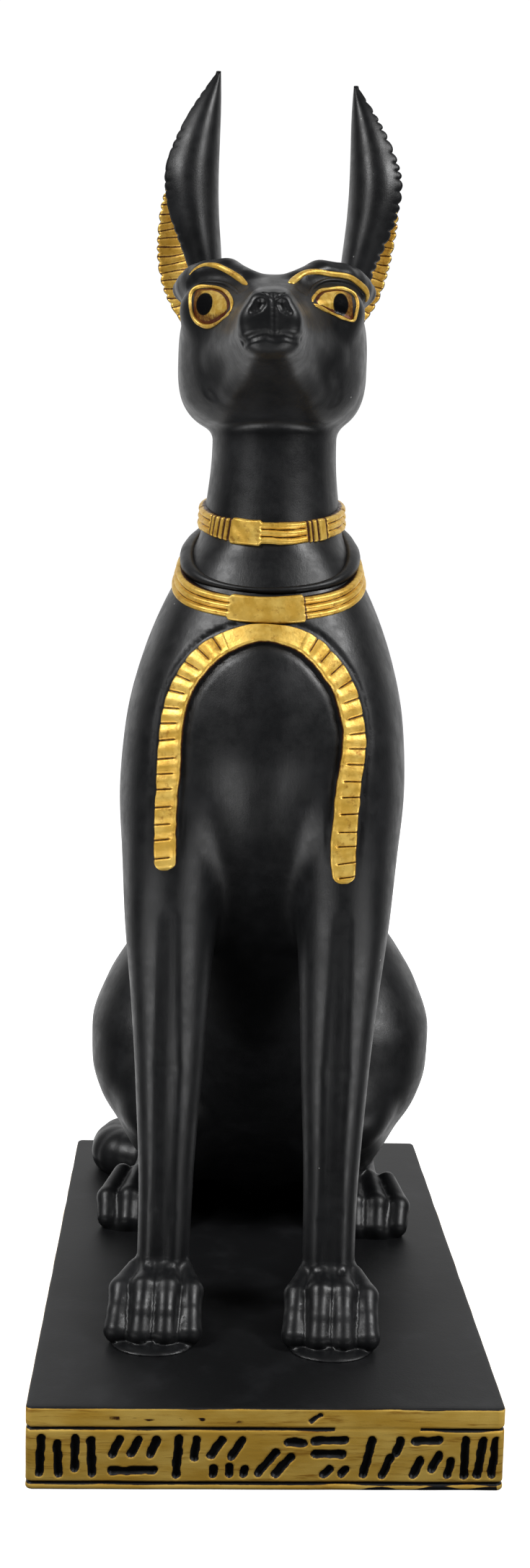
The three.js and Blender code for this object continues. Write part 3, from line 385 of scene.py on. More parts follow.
def meshed(xs, ys, zs, block=4):
    """The jackal's surface over a grid: one point in each crossed cell and one quad round each crossed edge."""
    shape = (len(xs), len(ys), len(zs))
    value = np.ones(shape) * 1e3
    corner = [np.arange(0, n, block) for n in shape]
    ends = [np.minimum(c + block, n - 1) for c, n in zip(corner, shape)]
    mids = [(axis[c] + axis[e]) / 2 for axis, c, e in zip((xs, ys, zs), corner, ends)]
    spans = [axis[e] - axis[c] for axis, c, e in zip((xs, ys, zs), corner, ends)]
    middle = jackal(np.stack(np.meshgrid(*mids, indexing="ij"), -1))
    size = np.sqrt(sum(s**2 for s in np.meshgrid(*spans, indexing="ij")))
    near = np.repeat(np.repeat(np.repeat(np.abs(middle) < size, block, 0), block, 1), block, 2)
    near = near[: shape[0], : shape[1], : shape[2]]
    far = np.repeat(np.repeat(np.repeat(middle, block, 0), block, 1), block, 2)[: shape[0], : shape[1], : shape[2]]
    value[:] = far
    i, j, k = np.nonzero(near)
    value[i, j, k] = jackal(np.stack([xs[i], ys[j], zs[k]], -1))
    inside = value < 0
    cell = tuple(n - 1 for n in shape)
    corners = [(a, b, c) for a in (0, 1) for b in (0, 1) for c in (0, 1)]
    count = sum(inside[a: a + cell[0], b: b + cell[1], c: c + cell[2]].astype(np.int8) for a, b, c in corners)
    i, j, k = np.nonzero((count > 0) & (count < 8))
    number = np.full(cell, -1)
    number[i, j, k] = np.arange(len(i))
    total, hits = np.zeros((len(i), 3)), np.zeros(len(i))
    for a in corners:
        for axis in range(3):
            if a[axis]:
                continue
            b = tuple(v + (n == axis) for n, v in enumerate(a))
            va, vb = value[i + a[0], j + a[1], k + a[2]], value[i + b[0], j + b[1], k + b[2]]
            crossed = (va < 0) != (vb < 0)
            t = np.where(crossed, va / np.where(crossed, va - vb, 1), 0)[:, None]
            pa = np.stack([xs[i + a[0]], ys[j + a[1]], zs[k + a[2]]], -1)
            pb = np.stack([xs[i + b[0]], ys[j + b[1]], zs[k + b[2]]], -1)
            total += np.where(crossed[:, None], pa + t * (pb - pa), 0)
            hits += crossed
    points = total / hits[:, None]
    quads = []
    for axis in range(3):
        u, v = (axis + 1) % 3, (axis + 2) % 3
        low = [slice(0, n) for n in shape]
        high = [slice(0, n) for n in shape]
        low[axis], high[axis] = slice(0, shape[axis] - 1), slice(1, shape[axis])
        a, b = inside[tuple(low)], inside[tuple(high)]
        edge = np.stack(np.nonzero(a != b), -1)
        edge = edge[(edge[:, u] > 0) & (edge[:, v] > 0) & (edge[:, u] < shape[u] - 1) & (edge[:, v] < shape[v] - 1)]
        outward = a[tuple(edge.T)]
        ring = []
        for du, dv in ((-1, -1), (0, -1), (0, 0), (-1, 0)):
            at = edge.copy()
            at[:, u] += du
            at[:, v] += dv
            ring.append(number[tuple(at.T)])
        ring = np.stack(ring, -1)
        quads.append(np.where(outward[:, None], ring, ring[:, ::-1]))
    quads = np.concatenate(quads)
    quads = quads[(quads >= 0).all(1)]
    for _ in range(3):
        d, slope = jackal(points), slope_at(points)
        steep = np.maximum((slope**2).sum(-1), 0.2)
        points = points - np.clip(d / steep, -0.4, 0.4)[:, None] * slope
    return points, quads


def meet(start, direction, far=60.0):
    """The first points of the jackal's surface met from starts along directions."""
    start, direction = np.broadcast_arrays(np.array(start, float), np.array(direction, float))
    t = np.arange(0, far, 0.5)
    d = jackal(start[:, None] + t[None, :, None] * direction[:, None])
    first = np.argmax(d < 0, 1)
    outer = t[first]
    inner = outer - 0.5
    for _ in range(18):
        middle = (inner + outer) / 2
        out = jackal(start + middle[:, None] * direction) > 0
        inner, outer = np.where(out, middle, inner), np.where(out, outer, middle)
    return start + inner[:, None] * direction


def on_front(x, z):
    x, z = np.broadcast_arrays(np.array(x, float), np.array(z, float))
    return meet(np.stack([x, np.full(x.shape, -60.0), z], -1), [0.0, 1.0, 0.0])


def drawn(points, rise, soft):
    """A ridge drawn on the front of the surface, or a groove where rise is negative. Points hold x, z and radius."""
    _, length = flowing(points, 2)
    points, _ = flowing(points, max(int(length / 0.3), 4))
    path = on_front(points[:, 0], points[:, 1])
    out = unit(slope_at(path))
    if soft >= 1:
        for _ in range(12):
            for line in (path, out):
                line[1:-1] = (line[:-2] + 2 * line[1:-1] + line[2:]) / 4
        out = unit(out)
    radius = points[:, 2]
    # A wide blend adds about a quarter of its width by itself, so the rod then lies further from the surface
    depth = abs(rise) * radius / radius.max() - 0.45 * max(soft - 1, 0)
    path = path - np.sign(rise) * out * (radius - depth)[:, None]
    reach = radius.max() + soft + 0.3
    mix = join if rise > 0 else carve
    rows = np.column_stack([path, radius])
    shape = soft_rod(rows, length / (len(rows) - 1)) if soft >= 1 else rod(rows, 0.06)
    return mix, shape, path.min(0) - reach, path.max(0) + reach, soft


drawings = [
    # Flesh of the upper lips
    ([[-5.4, 151, 1], [-7.4, 150.4, 1.8], [-9, 149.5, 1.2]], 0.1, 2.4),
    ([[5.6, 151.6, 1], [7.4, 151.2, 1.8], [9, 150.3, 1.2]], 0.1, 2.4),
    # Two bones of the lower jaw
    ([[-2.2, 148.9, 1], [-4.3, 147.3, 1.6], [-6.4, 144.9, 1.6]], 0.2, 2.4),
    ([[2.3, 148.9, 1], [4.2, 147.5, 1.6], [6, 145.4, 1.6]], 0.2, 2.4),
    # Lips, crisp under the nose and then soft folds down the cheeks
    ([[-3.75, 149.8, 0.34], [-2.5, 150.4, 0.3], [-0.8, 150.8, 0.28], [0.45, 150.5, 0.3], [1.6, 150.7, 0.28],
      [2.8, 150.5, 0.32], [3.96, 150.5, 0.3]], -0.24, 0.7),
    ([[-4.2, 149.7, 0.4], [-5.3, 149.1, 0.7], [-6.5, 147.8, 0.8], [-7.46, 146.5, 0.7],
      [-8.6, 144.9, 0.2]], -0.12, 2),
    ([[4.2, 150.5, 0.5], [4.88, 150.3, 0.8], [5.8, 149.1, 1], [6.84, 147.4, 1],
      [7.69, 146, 0.8], [8.5, 144.4, 0.2]], -0.2, 2),
    # Nostrils, the line between them and the creases over them
    ([[-1.45, 154.6, 0.56], [-1.75, 154.1, 0.46], [-2.4, 153.6, 0.26]], -0.5, 0.45),
    ([[1.25, 154.6, 0.56], [1.55, 154.1, 0.46], [2.15, 153.6, 0.26]], -0.5, 0.45),
    ([[0.1, 155.9, 0.12], [0.3, 154, 0.2], [0.36, 152.2, 0.2], [0.45, 150.7, 0.2]], -0.14, 0.5),
    ([[-0.1, 155.3, 0.1], [-1.2, 156.1, 0.12]], -0.14, 0.2),
    ([[0.4, 155.3, 0.1], [1.5, 156.1, 0.12]], -0.14, 0.2),
    # The hollow under each brow
    ([[-12.3, 160, 0.7], [-10.4, 160.9, 0.95], [-8, 160.8, 1], [-6, 159.8, 1], [-4.7, 158.4, 0.8]], -0.42, 1),
    ([[3.7, 158.4, 0.8], [4.6, 159.8, 1], [6.4, 160.7, 1], [8.6, 160.9, 0.95], [10.8, 160.4, 0.9], [12, 159.4, 0.6]],
     -0.42, 1),
]
details.extend([drawn(*drawing) for drawing in drawings])


# From shapes to Blender pieces
def to_row(p):
    x, y, z = p[..., 0], p[..., 1] - PIVOT_Y, p[..., 2]
    c, s = np.cos(FIGURE_TURN), np.sin(FIGURE_TURN)
    lean = FIGURE_LEAN * (z - BASE_HEIGHT)
    return np.stack([c * x + s * y + PIVOT_X + lean, c * y - s * x + PIVOT_Y, z], -1) / 1000


def turned(normal):
    c, s = np.cos(FIGURE_TURN), np.sin(FIGURE_TURN)
    x, y, z = normal[..., 0], normal[..., 1], normal[..., 2]
    return np.stack([c * x + s * y, c * y - s * x, z], -1)


def piece(name, points, faces, materials, attributes=None, normals=None, face_material=None, placed=False):
    """A mesh object in the row frame that rides on the part, with per-point values for its material."""
    mesh = bpy.data.meshes.new(name)
    where = points / 1000 if placed else to_row(points)
    mesh.from_pydata(where.tolist(), [], [list(map(int, f)) for f in faces])
    for material in materials:
        mesh.materials.append(material)
    mesh.polygons.foreach_set("use_smooth", np.ones(len(mesh.polygons), bool))
    if face_material is not None:
        mesh.polygons.foreach_set("material_index", np.array(face_material, np.int32))
    for key, values in (attributes or {}).items():
        layer = mesh.attributes.new(key, "FLOAT", "POINT")
        layer.data.foreach_set("value", np.array(values, np.float32))
    mesh.update()
    if normals is not None:
        mesh.normals_split_custom_set_from_vertices(turned(normals).tolist())
    made = bpy.data.objects.new(name, mesh)
    bpy.context.scene.collection.objects.link(made)
    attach(made, "root")
    return made


def sheet_faces(rows, columns, closed_rows=False, closed_columns=False):
    r = np.arange(rows if closed_rows else rows - 1)
    c = np.arange(columns if closed_columns else columns - 1)
    r, c = np.meshgrid(r, c, indexing="ij")
    r, c = r.ravel(), c.ravel()
    r2, c2 = (r + 1) % rows, (c + 1) % columns
    return np.stack([r * columns + c, r * columns + c2, r2 * columns + c2, r2 * columns + c], -1)


def frames(path, outwards, closed):
    """The direction across a path that lies on the surface, for each of its points."""
    ahead = np.roll(path, -1, 0) - np.roll(path, 1, 0)
    if not closed:
        ahead[0], ahead[-1] = path[1] - path[0], path[-1] - path[-2]
    return unit(np.cross(outwards, unit(ahead)))


def noise_along(count, seed, smooth, closed=False):
    """Gentle hand-made unevenness along a path, between about -1 and 1."""
    random = np.random.default_rng(seed).normal(size=count)
    reach = int(smooth * 3)
    weights = np.exp(-0.5 * (np.arange(-reach, reach + 1) / smooth) ** 2)
    padded = np.concatenate([random[-reach:], random, random[:reach]]) if closed else np.pad(random, reach, "reflect")
    out = np.convolve(padded, weights / np.sqrt((weights**2).sum()), "valid")
    return np.clip(out / 1.6, -1, 1)


def raised(name, path, outwards, half, height, recess, materials, closed, s, face_material=None):
    """A strip lying on the surface: half widths per row, and height and recess per row and per place across."""
    across = frames(path, outwards, closed)
    points = path[:, None] + across[:, None] * (s[None, :] * half[:, None])[..., None] + outwards[:, None] * height[..., None]
    faces = sheet_faces(len(path), len(s), closed)[:, ::-1]
    if not closed:
        last = (len(path) - 1) * len(s)
        faces = [*faces, list(range(len(s))), [last + i for i in range(len(s))][::-1]]
    return piece(name, points.reshape(-1, 3), faces, materials, {"recess": recess.ravel()}, None, face_material)


def tube(name, path, outwards, radius, materials, closed, recess=0.0, sides=10, sink=0.1):
    across = frames(path, outwards, closed)
    a = np.linspace(0, 2 * np.pi, sides, endpoint=False)
    radius = np.broadcast_to(radius, len(path))
    points = (
        path[:, None]
        + across[:, None] * (radius[:, None] * np.cos(a))[..., None]
        + outwards[:, None] * (radius[:, None] * np.sin(a) - sink)[..., None]
    )
    faces = sheet_faces(len(path), sides, closed, True)
    if not closed:
        last = (len(path) - 1) * sides
        faces = [*faces, list(range(sides))[::-1], [last + i for i in range(sides)]]
    tone_and_painted_shade = np.broadcast_to(recess, (len(path), sides)) if np.ndim(recess) == 0 else recess
    return piece(name, points.reshape(-1, 3), faces, materials, {"recess": np.array(tone_and_painted_shade).ravel()})


# Materials
class Nodes:
    """A short way to lay out a material's nodes."""

    def __init__(self, name, **sockets):
        self.material = bpy.data.materials.new(name)
        self.material.use_nodes = True
        self.tree = self.material.node_tree
        self.shader = self.tree.nodes["Principled BSDF"]
        for key, value in sockets.items():
            self.shader.inputs[key.replace("_", " ")].default_value = value

    def add(self, kind, **values):
        node = self.tree.nodes.new(kind)
        for key, value in values.items():
            setattr(node, key, value)
        return node

    def link(self, a, b):
        self.tree.links.new(a, b)

    def put(self, node, socket, value):
        if isinstance(value, bpy.types.NodeSocket):
            self.link(value, node.inputs[socket])
        else:
            node.inputs[socket].default_value = value

    def coordinates(self, scale):
        place = self.add("ShaderNodeTexCoord").outputs["Object"]
        mapping = self.add("ShaderNodeMapping")
        self.link(place, mapping.inputs["Vector"])
        mapping.inputs["Scale"].default_value = scale
        return mapping.outputs["Vector"]

    def noise(self, size_mm, detail=2.0, rough=0.5, stretch=(1, 1, 1), shift=0.0):
        """Noise whose lumps are about size_mm across, from 0 to 1."""
        scale = tuple(1000 / size_mm / s for s in stretch)
        node = self.add("ShaderNodeTexNoise")
        vector = self.coordinates(scale)
        if shift:
            vector.node.inputs["Location"].default_value = (shift, shift * 1.7, shift * 0.6)
        self.link(vector, node.inputs["Vector"])
        node.inputs["Scale"].default_value = 1.0
        node.inputs["Detail"].default_value = detail
        node.inputs["Roughness"].default_value = rough
        return node.outputs["Fac"]

    def value(self, name):
        node = self.add("ShaderNodeAttribute")
        node.attribute_name = name
        return node.outputs["Fac"]

    def ramp(self, value, low, high, to_low=0.0, to_high=1.0, smooth=True):
        node = self.add("ShaderNodeMapRange")
        node.interpolation_type = "SMOOTHSTEP" if smooth else "LINEAR"
        self.put(node, "Value", value)
        for key, number in (("From Min", low), ("From Max", high), ("To Min", to_low), ("To Max", to_high)):
            node.inputs[key].default_value = number
        return node.outputs["Result"]

    def math(self, operation, a, b=0.0):
        node = self.add("ShaderNodeMath", operation=operation)
        self.put(node, 0, a)
        self.put(node, 1, b)
        return node.outputs[0]

    def mix(self, factor, a, b):
        node = self.add("ShaderNodeMix", data_type="RGBA")
        self.put(node, 0, factor)
        self.put(node, 6, a)
        self.put(node, 7, b)
        return node.outputs[2]

    def bump(self, height, distance_mm, strength=1.0, over=None):
        node = self.add("ShaderNodeBump")
        node.inputs["Strength"].default_value = strength
        node.inputs["Distance"].default_value = distance_mm / 1000
        self.link(height, node.inputs["Height"])
        if over is not None:
            self.link(over, node.inputs["Normal"])
        return node.outputs["Normal"]

    def set(self, socket, value):
        self.link(value, self.shader.inputs[socket])


BLACK = (0.0055, 0.0058, 0.0065, 1)
BLACK_WORN = (0.014, 0.0145, 0.016, 1)
DUST = (0.32, 0.32, 0.31, 1)
GOLD_DEEP = (0.4, 0.19, 0.02, 1)
GOLD = (0.68, 0.4, 0.055, 1)
GOLD_LIGHT = (0.86, 0.58, 0.13, 1)
BROWN = (0.075, 0.022, 0.006, 1)
# Near-black painted shade for the deepest grooves and the strips' sides in the gold paint
GROOVE_SHADE = (0.012, 0.009, 0.008, 1)


def black_resin(name, roughness=0.4, specular=0.4, grain=0.012, dust=0.0):
    m = Nodes(name, Specular_IOR_Level=specular)
    cloud = m.noise(9, 3, 0.6)
    colour = m.mix(m.ramp(cloud, 0.45, 0.8), BLACK, BLACK_WORN)
    if dust:
        specks = m.add("ShaderNodeTexVoronoi")
        m.link(m.coordinates((400, 400, 400)), specks.inputs["Vector"])
        specks.inputs["Scale"].default_value = 1.0
        chosen = m.ramp(m.math("FRACT", m.math("MULTIPLY", specks.outputs["Color"], 7.3)), 1 - dust, 1 - dust * 0.7)
        spot = m.ramp(specks.outputs["Distance"], 0.06, 0.035)
        colour = m.mix(m.math("MULTIPLY", spot, chosen), colour, DUST)
    m.set("Base Color", colour)
    m.set("Roughness", m.ramp(m.noise(3, 4, 0.7), 0.3, 0.7, roughness - 0.06, roughness + 0.07))
    fine = m.bump(m.noise(0.28, 2, 0.6), grain)
    strokes = m.bump(m.noise(0.9, 3, 0.6, (1, 1, 7)), grain * 1.6, over=fine)
    m.set("Normal", m.bump(m.noise(6, 2, 0.5), 0.06, over=strokes))
    return m.material


def gold_paint(name, stretch=(1, 1, 1), lump=0.05):
    m = Nodes(name, Metallic=0.45, Specular_IOR_Level=0.5)
    broad = m.mix(m.ramp(m.noise(2.6, 3, 0.6, stretch), 0.35, 0.7), GOLD, GOLD_LIGHT)
    patchy = m.mix(m.ramp(m.noise(1.1, 4, 0.65, stretch, 3.1), 0.52, 0.75), broad, GOLD_DEEP)
    # The recess value paints shade: the gold turns brown in hollows, and near black in the deepest grooves and along
    # the strips' sides
    hollow = m.math("ADD", m.value("recess"), m.math("MULTIPLY", m.math("SUBTRACT", m.noise(0.5, 3, 0.7), 0.5), 0.5))
    shaded = m.mix(m.ramp(hollow, 0.22, 0.62), patchy, BROWN)
    m.set("Base Color", m.mix(m.ramp(hollow, 0.72, 0.95), shaded, GROOVE_SHADE))
    m.set("Roughness", m.ramp(m.noise(0.8, 3, 0.6), 0.3, 0.7, 0.34, 0.5))
    fine = m.bump(m.noise(0.22, 2, 0.6), 0.014)
    m.set("Normal", m.bump(m.noise(1.4, 3, 0.6, stretch), lump, over=fine))
    return m.material


resin = black_resin("black_resin", dust=0.05)
resin_gloss = black_resin("black_resin_gloss", 0.3, 0.5, 0.008)
gold = gold_paint("gold_paint")

# Body, neck and head, parted under the two collars
BAND_TILT, COLLAR_TILT = np.radians(11.8), np.radians(20)


def above(points, z, y, tilt):
    return points[:, 2] - z + (points[:, 1] - y) * -np.tan(tilt)


def body_piece(name, xs, ys, zs, keep, material):
    points, quads = meshed(xs, ys, zs)
    kept = keep(points)[quads].all(1)
    quads = quads[kept]
    used, quads = np.unique(quads, return_inverse=True)
    quads = quads.reshape(-1, 4)
    points = points[used]
    normals = unit(slope_at(points))
    return piece(name, points, quads, [material], None, normals)


body = body_piece(
    "jackal_body",
    levels([-30, 30, 0.62]), levels([-42, 54, 0.62]), levels([11, 24, 0.45], [24, 126, 0.66]),
    lambda p: above(p, 121.8, -8.5, COLLAR_TILT) < 0.3, resin,
)
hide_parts("figure")
body_piece(
    "jackal_neck",
    levels([-16, 16, 0.5]), levels([-30, 12, 0.5]), levels([112, 134, 0.5]),
    lambda p: (above(p, 121.8, -8.5, COLLAR_TILT) > -0.3) & (above(p, 128.6, -8, BAND_TILT) < 0.3), resin,
)
body_piece(
    "jackal_head",
    levels([-17, -5.4, 0.42], [-5.4, 5, 0.2], [5, 16.5, 0.42]), levels([-46.5, -37, 0.22], [-37, 12, 0.42]),
    levels([124, 144, 0.5], [144, 149, 0.36], [149, 158, 0.22], [158, 167, 0.4]),
    lambda p: above(p, 128.6, -8, BAND_TILT) > -0.3, resin,
)


# Collars
def band_path(centre, tilt, turns):
    a = np.radians(turns)
    out = np.stack([np.sin(a), -np.cos(a) * np.cos(tilt), -np.cos(a) * np.sin(tilt)], -1)
    path = meet(np.array(centre) + 30 * out, -out, 29)
    return path, unit(unit(slope_at(path)) + out)


def edge_fall(s, soft):
    """1 across a strip, falling steeply at its two edges."""
    return np.sqrt(np.clip(1 - np.clip((np.abs(s) - 1 + soft) / soft, 0, 1) ** 2, 0, 1))


def flutes(s, centres, half):
    lift = np.zeros(np.broadcast(s, 0).shape)
    for centre in centres:
        lift = np.maximum(lift, np.sqrt(np.clip(1 - ((s - centre) / half) ** 2, 0, 1)))
    return lift


turns = np.arange(-180, 180, 0.75)
path, outwards = band_path((0.3, -8.5, 121.5), COLLAR_TILT, turns)
s = np.concatenate([[-1.02], np.linspace(-1, 1, 37), [1.02]])
on_plate = step_up(-17.5, -16, turns) * (1 - step_up(15.2, 15.9, turns))
uneven = noise_along(len(turns), 3, 9, True)
half = 1.62 + 0.33 * on_plate + 0.05 * uneven
fluted = 0.34 + 0.6 * flutes(s[None, :] + 0.03 * uneven[:, None], (-0.66, -0.02, 0.64), 0.3)
plain = 0.93 + 0.05 * np.cos(s[None, :] * 1.3) + 0.02 * noise_along(len(turns), 5, 5, True)[:, None]
height = fluted * (1 - on_plate[:, None]) + plain * on_plate[:, None]
# Painted shade: brown low between the flutes, a painted shadow line at each end of the plate, and near black along the
# collar's sides
recess = np.clip((0.62 - height) * 2.6, 0, 0.85)
plate_edge = np.exp(-(((turns - 15.9) / 0.5) ** 2)) + 0.5 * np.exp(-(((turns + 17.3) / 0.5) ** 2))
recess = np.maximum(recess, 0.8 * plate_edge[:, None] * (np.abs(s) < 1.01))
height = height * edge_fall(s, 0.16)[None, :]
height[:, [0, -1]] = -1.2
recess[:, :2] = recess[:, -2:] = 0.95
raised("collar_broad", path, outwards, half, height, recess, [gold], True, s)

# Black rim inside the broad collar, thicker at the sides
rim_path, rim_out = band_path((0.3, -8.5, 123.7), COLLAR_TILT, turns)
rim_radius = 0.5 + 0.95 * step_up(18, 75, np.abs(turns)) + 0.06 * uneven
tube("collar_rim", rim_path, rim_out, rim_radius, [resin], True, sides=18, sink=0.0)

path, outwards = band_path((0, -8, 128.6), BAND_TILT, turns)
s = np.concatenate([[-1.02], np.linspace(-1, 1, 33), [1.02]])
BARS = (-75, -41.4, -37.6, -32.8, -28.4, -24.1, 23.1, 26.2, 30.5, 38.3, 76)
in_clasp = step_up(-22.6, -21.6, turns) * (1 - step_up(-5.2, -4.2, turns))
near_bars = np.maximum(
    step_up(-43.5, -42.5, turns) * (1 - step_up(-23, -22, turns)),
    step_up(21.5, 22.5, turns) * (1 - step_up(39.5, 40.5, turns)),
)
groove = np.max([np.exp(-(((turns - bar) / 0.95) ** 2)) for bar in BARS], 0)
lumpy = noise_along(len(turns), 11, 4, True)
half = 1.6 + 0.28 * in_clasp + 0.06 * lumpy
fluted = 0.4 + 0.5 * flutes(s[None, :] + 0.05 * lumpy[:, None], (-0.64, 0.02, 0.66), 0.28)
barred = 0.92 - 0.4 * groove[:, None] + 0 * s[None, :]
clasp = 1.08 + 0.05 * np.sin(s[None, :] * 5 + turns[:, None] * 0.5)
height = fluted * (1 - in_clasp - near_bars * (1 - in_clasp))[:, None] + barred * (near_bars * (1 - in_clasp))[:, None]
height = height + clasp * in_clasp[:, None] - 0.25 * (groove * (1 - near_bars))[:, None]
# Painted shade: brown low between the flutes, near black in the grooves by the bars and along the band's sides
recess = np.clip((0.66 - height) * 2.2, 0, 0.8)
recess = np.maximum(recess, 0.85 * groove[:, None] * (np.abs(s) < 1.01))
height = height * edge_fall(s, 0.18)[None, :]
height[:, [0, -1]] = -1.2
recess[:, :2] = recess[:, -2:] = 0.9
raised("neck_band", path, outwards, half, height, recess, [gold], True, s)

# Ribbon: an even inner border, and cuts across the rest at an even pitch
count = 900
line, length = flowing(RIBBON, count)
path = on_front(line[:, 0], line[:, 1])
outwards = unit(slope_at(path))
for _ in range(12):
    outwards[1:-1] = (outwards[:-2] + 2 * outwards[1:-1] + outwards[2:]) / 4
outwards = unit(outwards)
s = np.concatenate([[-1.02], np.linspace(-1, 1, 25), [1.02]])
along = np.linspace(0, length, count)
shake = noise_along(count, 21, 14)
place = along + 0.35 * shake
nearest = np.round(place / RIBBON_PITCH) * RIBBON_PITCH
tilt = 0.18 * s[None, :]
from_cut = (place[:, None] + tilt) - nearest[:, None]
cut = np.exp(-((from_cut / 0.12) ** 2)) * (np.abs(line[:, :1]) > 5.2)
cut = cut * step_up(-0.62, -0.3, s)[None, :]
ends = np.clip(np.minimum(along, length - along) / 1.5, 0, 1)
half = (line[:, 2] / 2 + 0.07 * shake + 0.05 * noise_along(count, 22, 5)) * np.sqrt(np.clip(1 - (1 - ends) ** 2, 0.02, 1))
pillow = 0.07 * np.cos(np.clip(from_cut / RIBBON_PITCH, -0.5, 0.5) * 2 * np.pi + np.pi)
height = 0.64 + pillow * (np.abs(line[:, :1]) > 5.2) + 0.05 * step_up(-0.4, -0.8, s)[None, :] - 0.34 * cut
# Painted shade: brown in the cuts, and near black along the ribbon's sides
recess = np.clip(cut * 0.66, 0, 0.9)
height = height * edge_fall(s, 0.14)[None, :] * np.sqrt(np.clip(1 - (1 - ends) ** 4, 0, 1))[:, None]
height[:, [0, -1]] = -0.9
recess[:, :2] = recess[:, -2:] = 0.9
raised("ribbon", path, outwards, half, height, recess, [gold], False, s)

# Face, whose two sides aren't alike: first the one on the image's left. Brows hold x, z and half width.
BROWS = {
    -1: [[-12.39, 161.42, 0.1], [-11.58, 162.1, 0.2], [-10.25, 162.61, 0.31], [-8.64, 162.33, 0.41],
         [-6.82, 161.43, 0.43], [-5.19, 160.28, 0.47], [-4.31, 159.44, 0.36], [-3.81, 158.93, 0.1]],
    1: [[1.95, 159.24, 0.5], [2.54, 160.18, 0.57], [3.97, 161.24, 0.46], [5.66, 161.55, 0.41], [7.33, 161.44, 0.41],
        [8.88, 161.47, 0.41], [10.1, 161.34, 0.41], [11.46, 160.72, 0.43], [12.46, 160.02, 0.43],
        [12.72, 159.28, 0.36], [12.48, 158.63, 0.2]],
}
EYES = {
    -1: [[-11.83, 157.02], [-11.76, 158.48], [-10.9, 159.25], [-9.25, 159.26], [-7.87, 158.92], [-6.7, 158.14],
         [-5.9, 156.89], [-5.69, 155.56], [-6.04, 154.91], [-6.99, 154.39], [-7.79, 153.96], [-9.04, 153.67],
         [-10.27, 154.03], [-11.33, 155.11]],
    1: [[4.84, 156.69], [5.76, 158.52], [7.23, 159.15], [9.04, 159.44], [10.61, 158.84], [11.17, 157.52],
        [10.99, 156.02], [10.6, 155.07], [9.16, 155.31], [7.34, 155.85], [5.84, 156.31]],
}
FOLDS = {
    -1: [[-12.4, 159.18], [-11.72, 159.54], [-10.08, 160.08], [-7.48, 159.77], [-5.75, 158.71], [-4.5, 157.3]],
    1: [[4.36, 156.94], [4.95, 159.12], [6.49, 160.38], [8.7, 160.73], [10.76, 160.35], [12.18, 159.36]],
}
PUPILS = {-1: (-9.78, 156.75, 1.22, 1.6), 1: (8.88, 157.05, 1.06, 1.66)}
# Where each eye's painted highlight is centred: side and height
EYE_SHINE = {-1: (-8.2, 157.3), 1: (7.2, 157.9)}


def smoothed(values, width, closed):
    reach = int(width * 3)
    weights = np.exp(-0.5 * (np.arange(-reach, reach + 1) / width) ** 2)
    padded = np.concatenate([values[-reach:], values, values[:reach]]) if closed else np.pad(values, reach, "edge")
    return np.convolve(padded, weights / weights.sum(), "valid")


def face_path(points, count, closed=False, width=3.0):
    """A line drawn on the face, its depth smoothed so that it doesn't follow every fold."""
    line, _ = flowing(points, count, closed)
    path = on_front(line[:, 0], line[:, 1])
    path[:, 1] = smoothed(path[:, 1], width, closed)
    return path, line


m = Nodes("eye_paint", Specular_IOR_Level=0.6, Metallic=0.4)
shine = m.mix(m.ramp(m.noise(0.9, 3, 0.6), 0.4, 0.62), GOLD, GOLD_LIGHT)
# The recess value paints shade: the eye's gold turns dark brown where it is high
hollow = m.math("ADD", m.value("recess"), m.math("MULTIPLY", m.math("SUBTRACT", m.noise(0.4, 3, 0.7), 0.5), 0.5))
shine = m.mix(m.ramp(hollow, 0.25, 0.7), shine, (0.11, 0.022, 0.004, 1))
m.set("Base Color", m.mix(m.value("pupil"), shine, (0.004, 0.004, 0.005, 1)))
m.set("Roughness", m.ramp(m.value("pupil"), 0, 1, 0.32, 0.18))
m.set("Normal", m.bump(m.noise(1.1, 2, 0.6), 0.06))
eye_paint = m.material


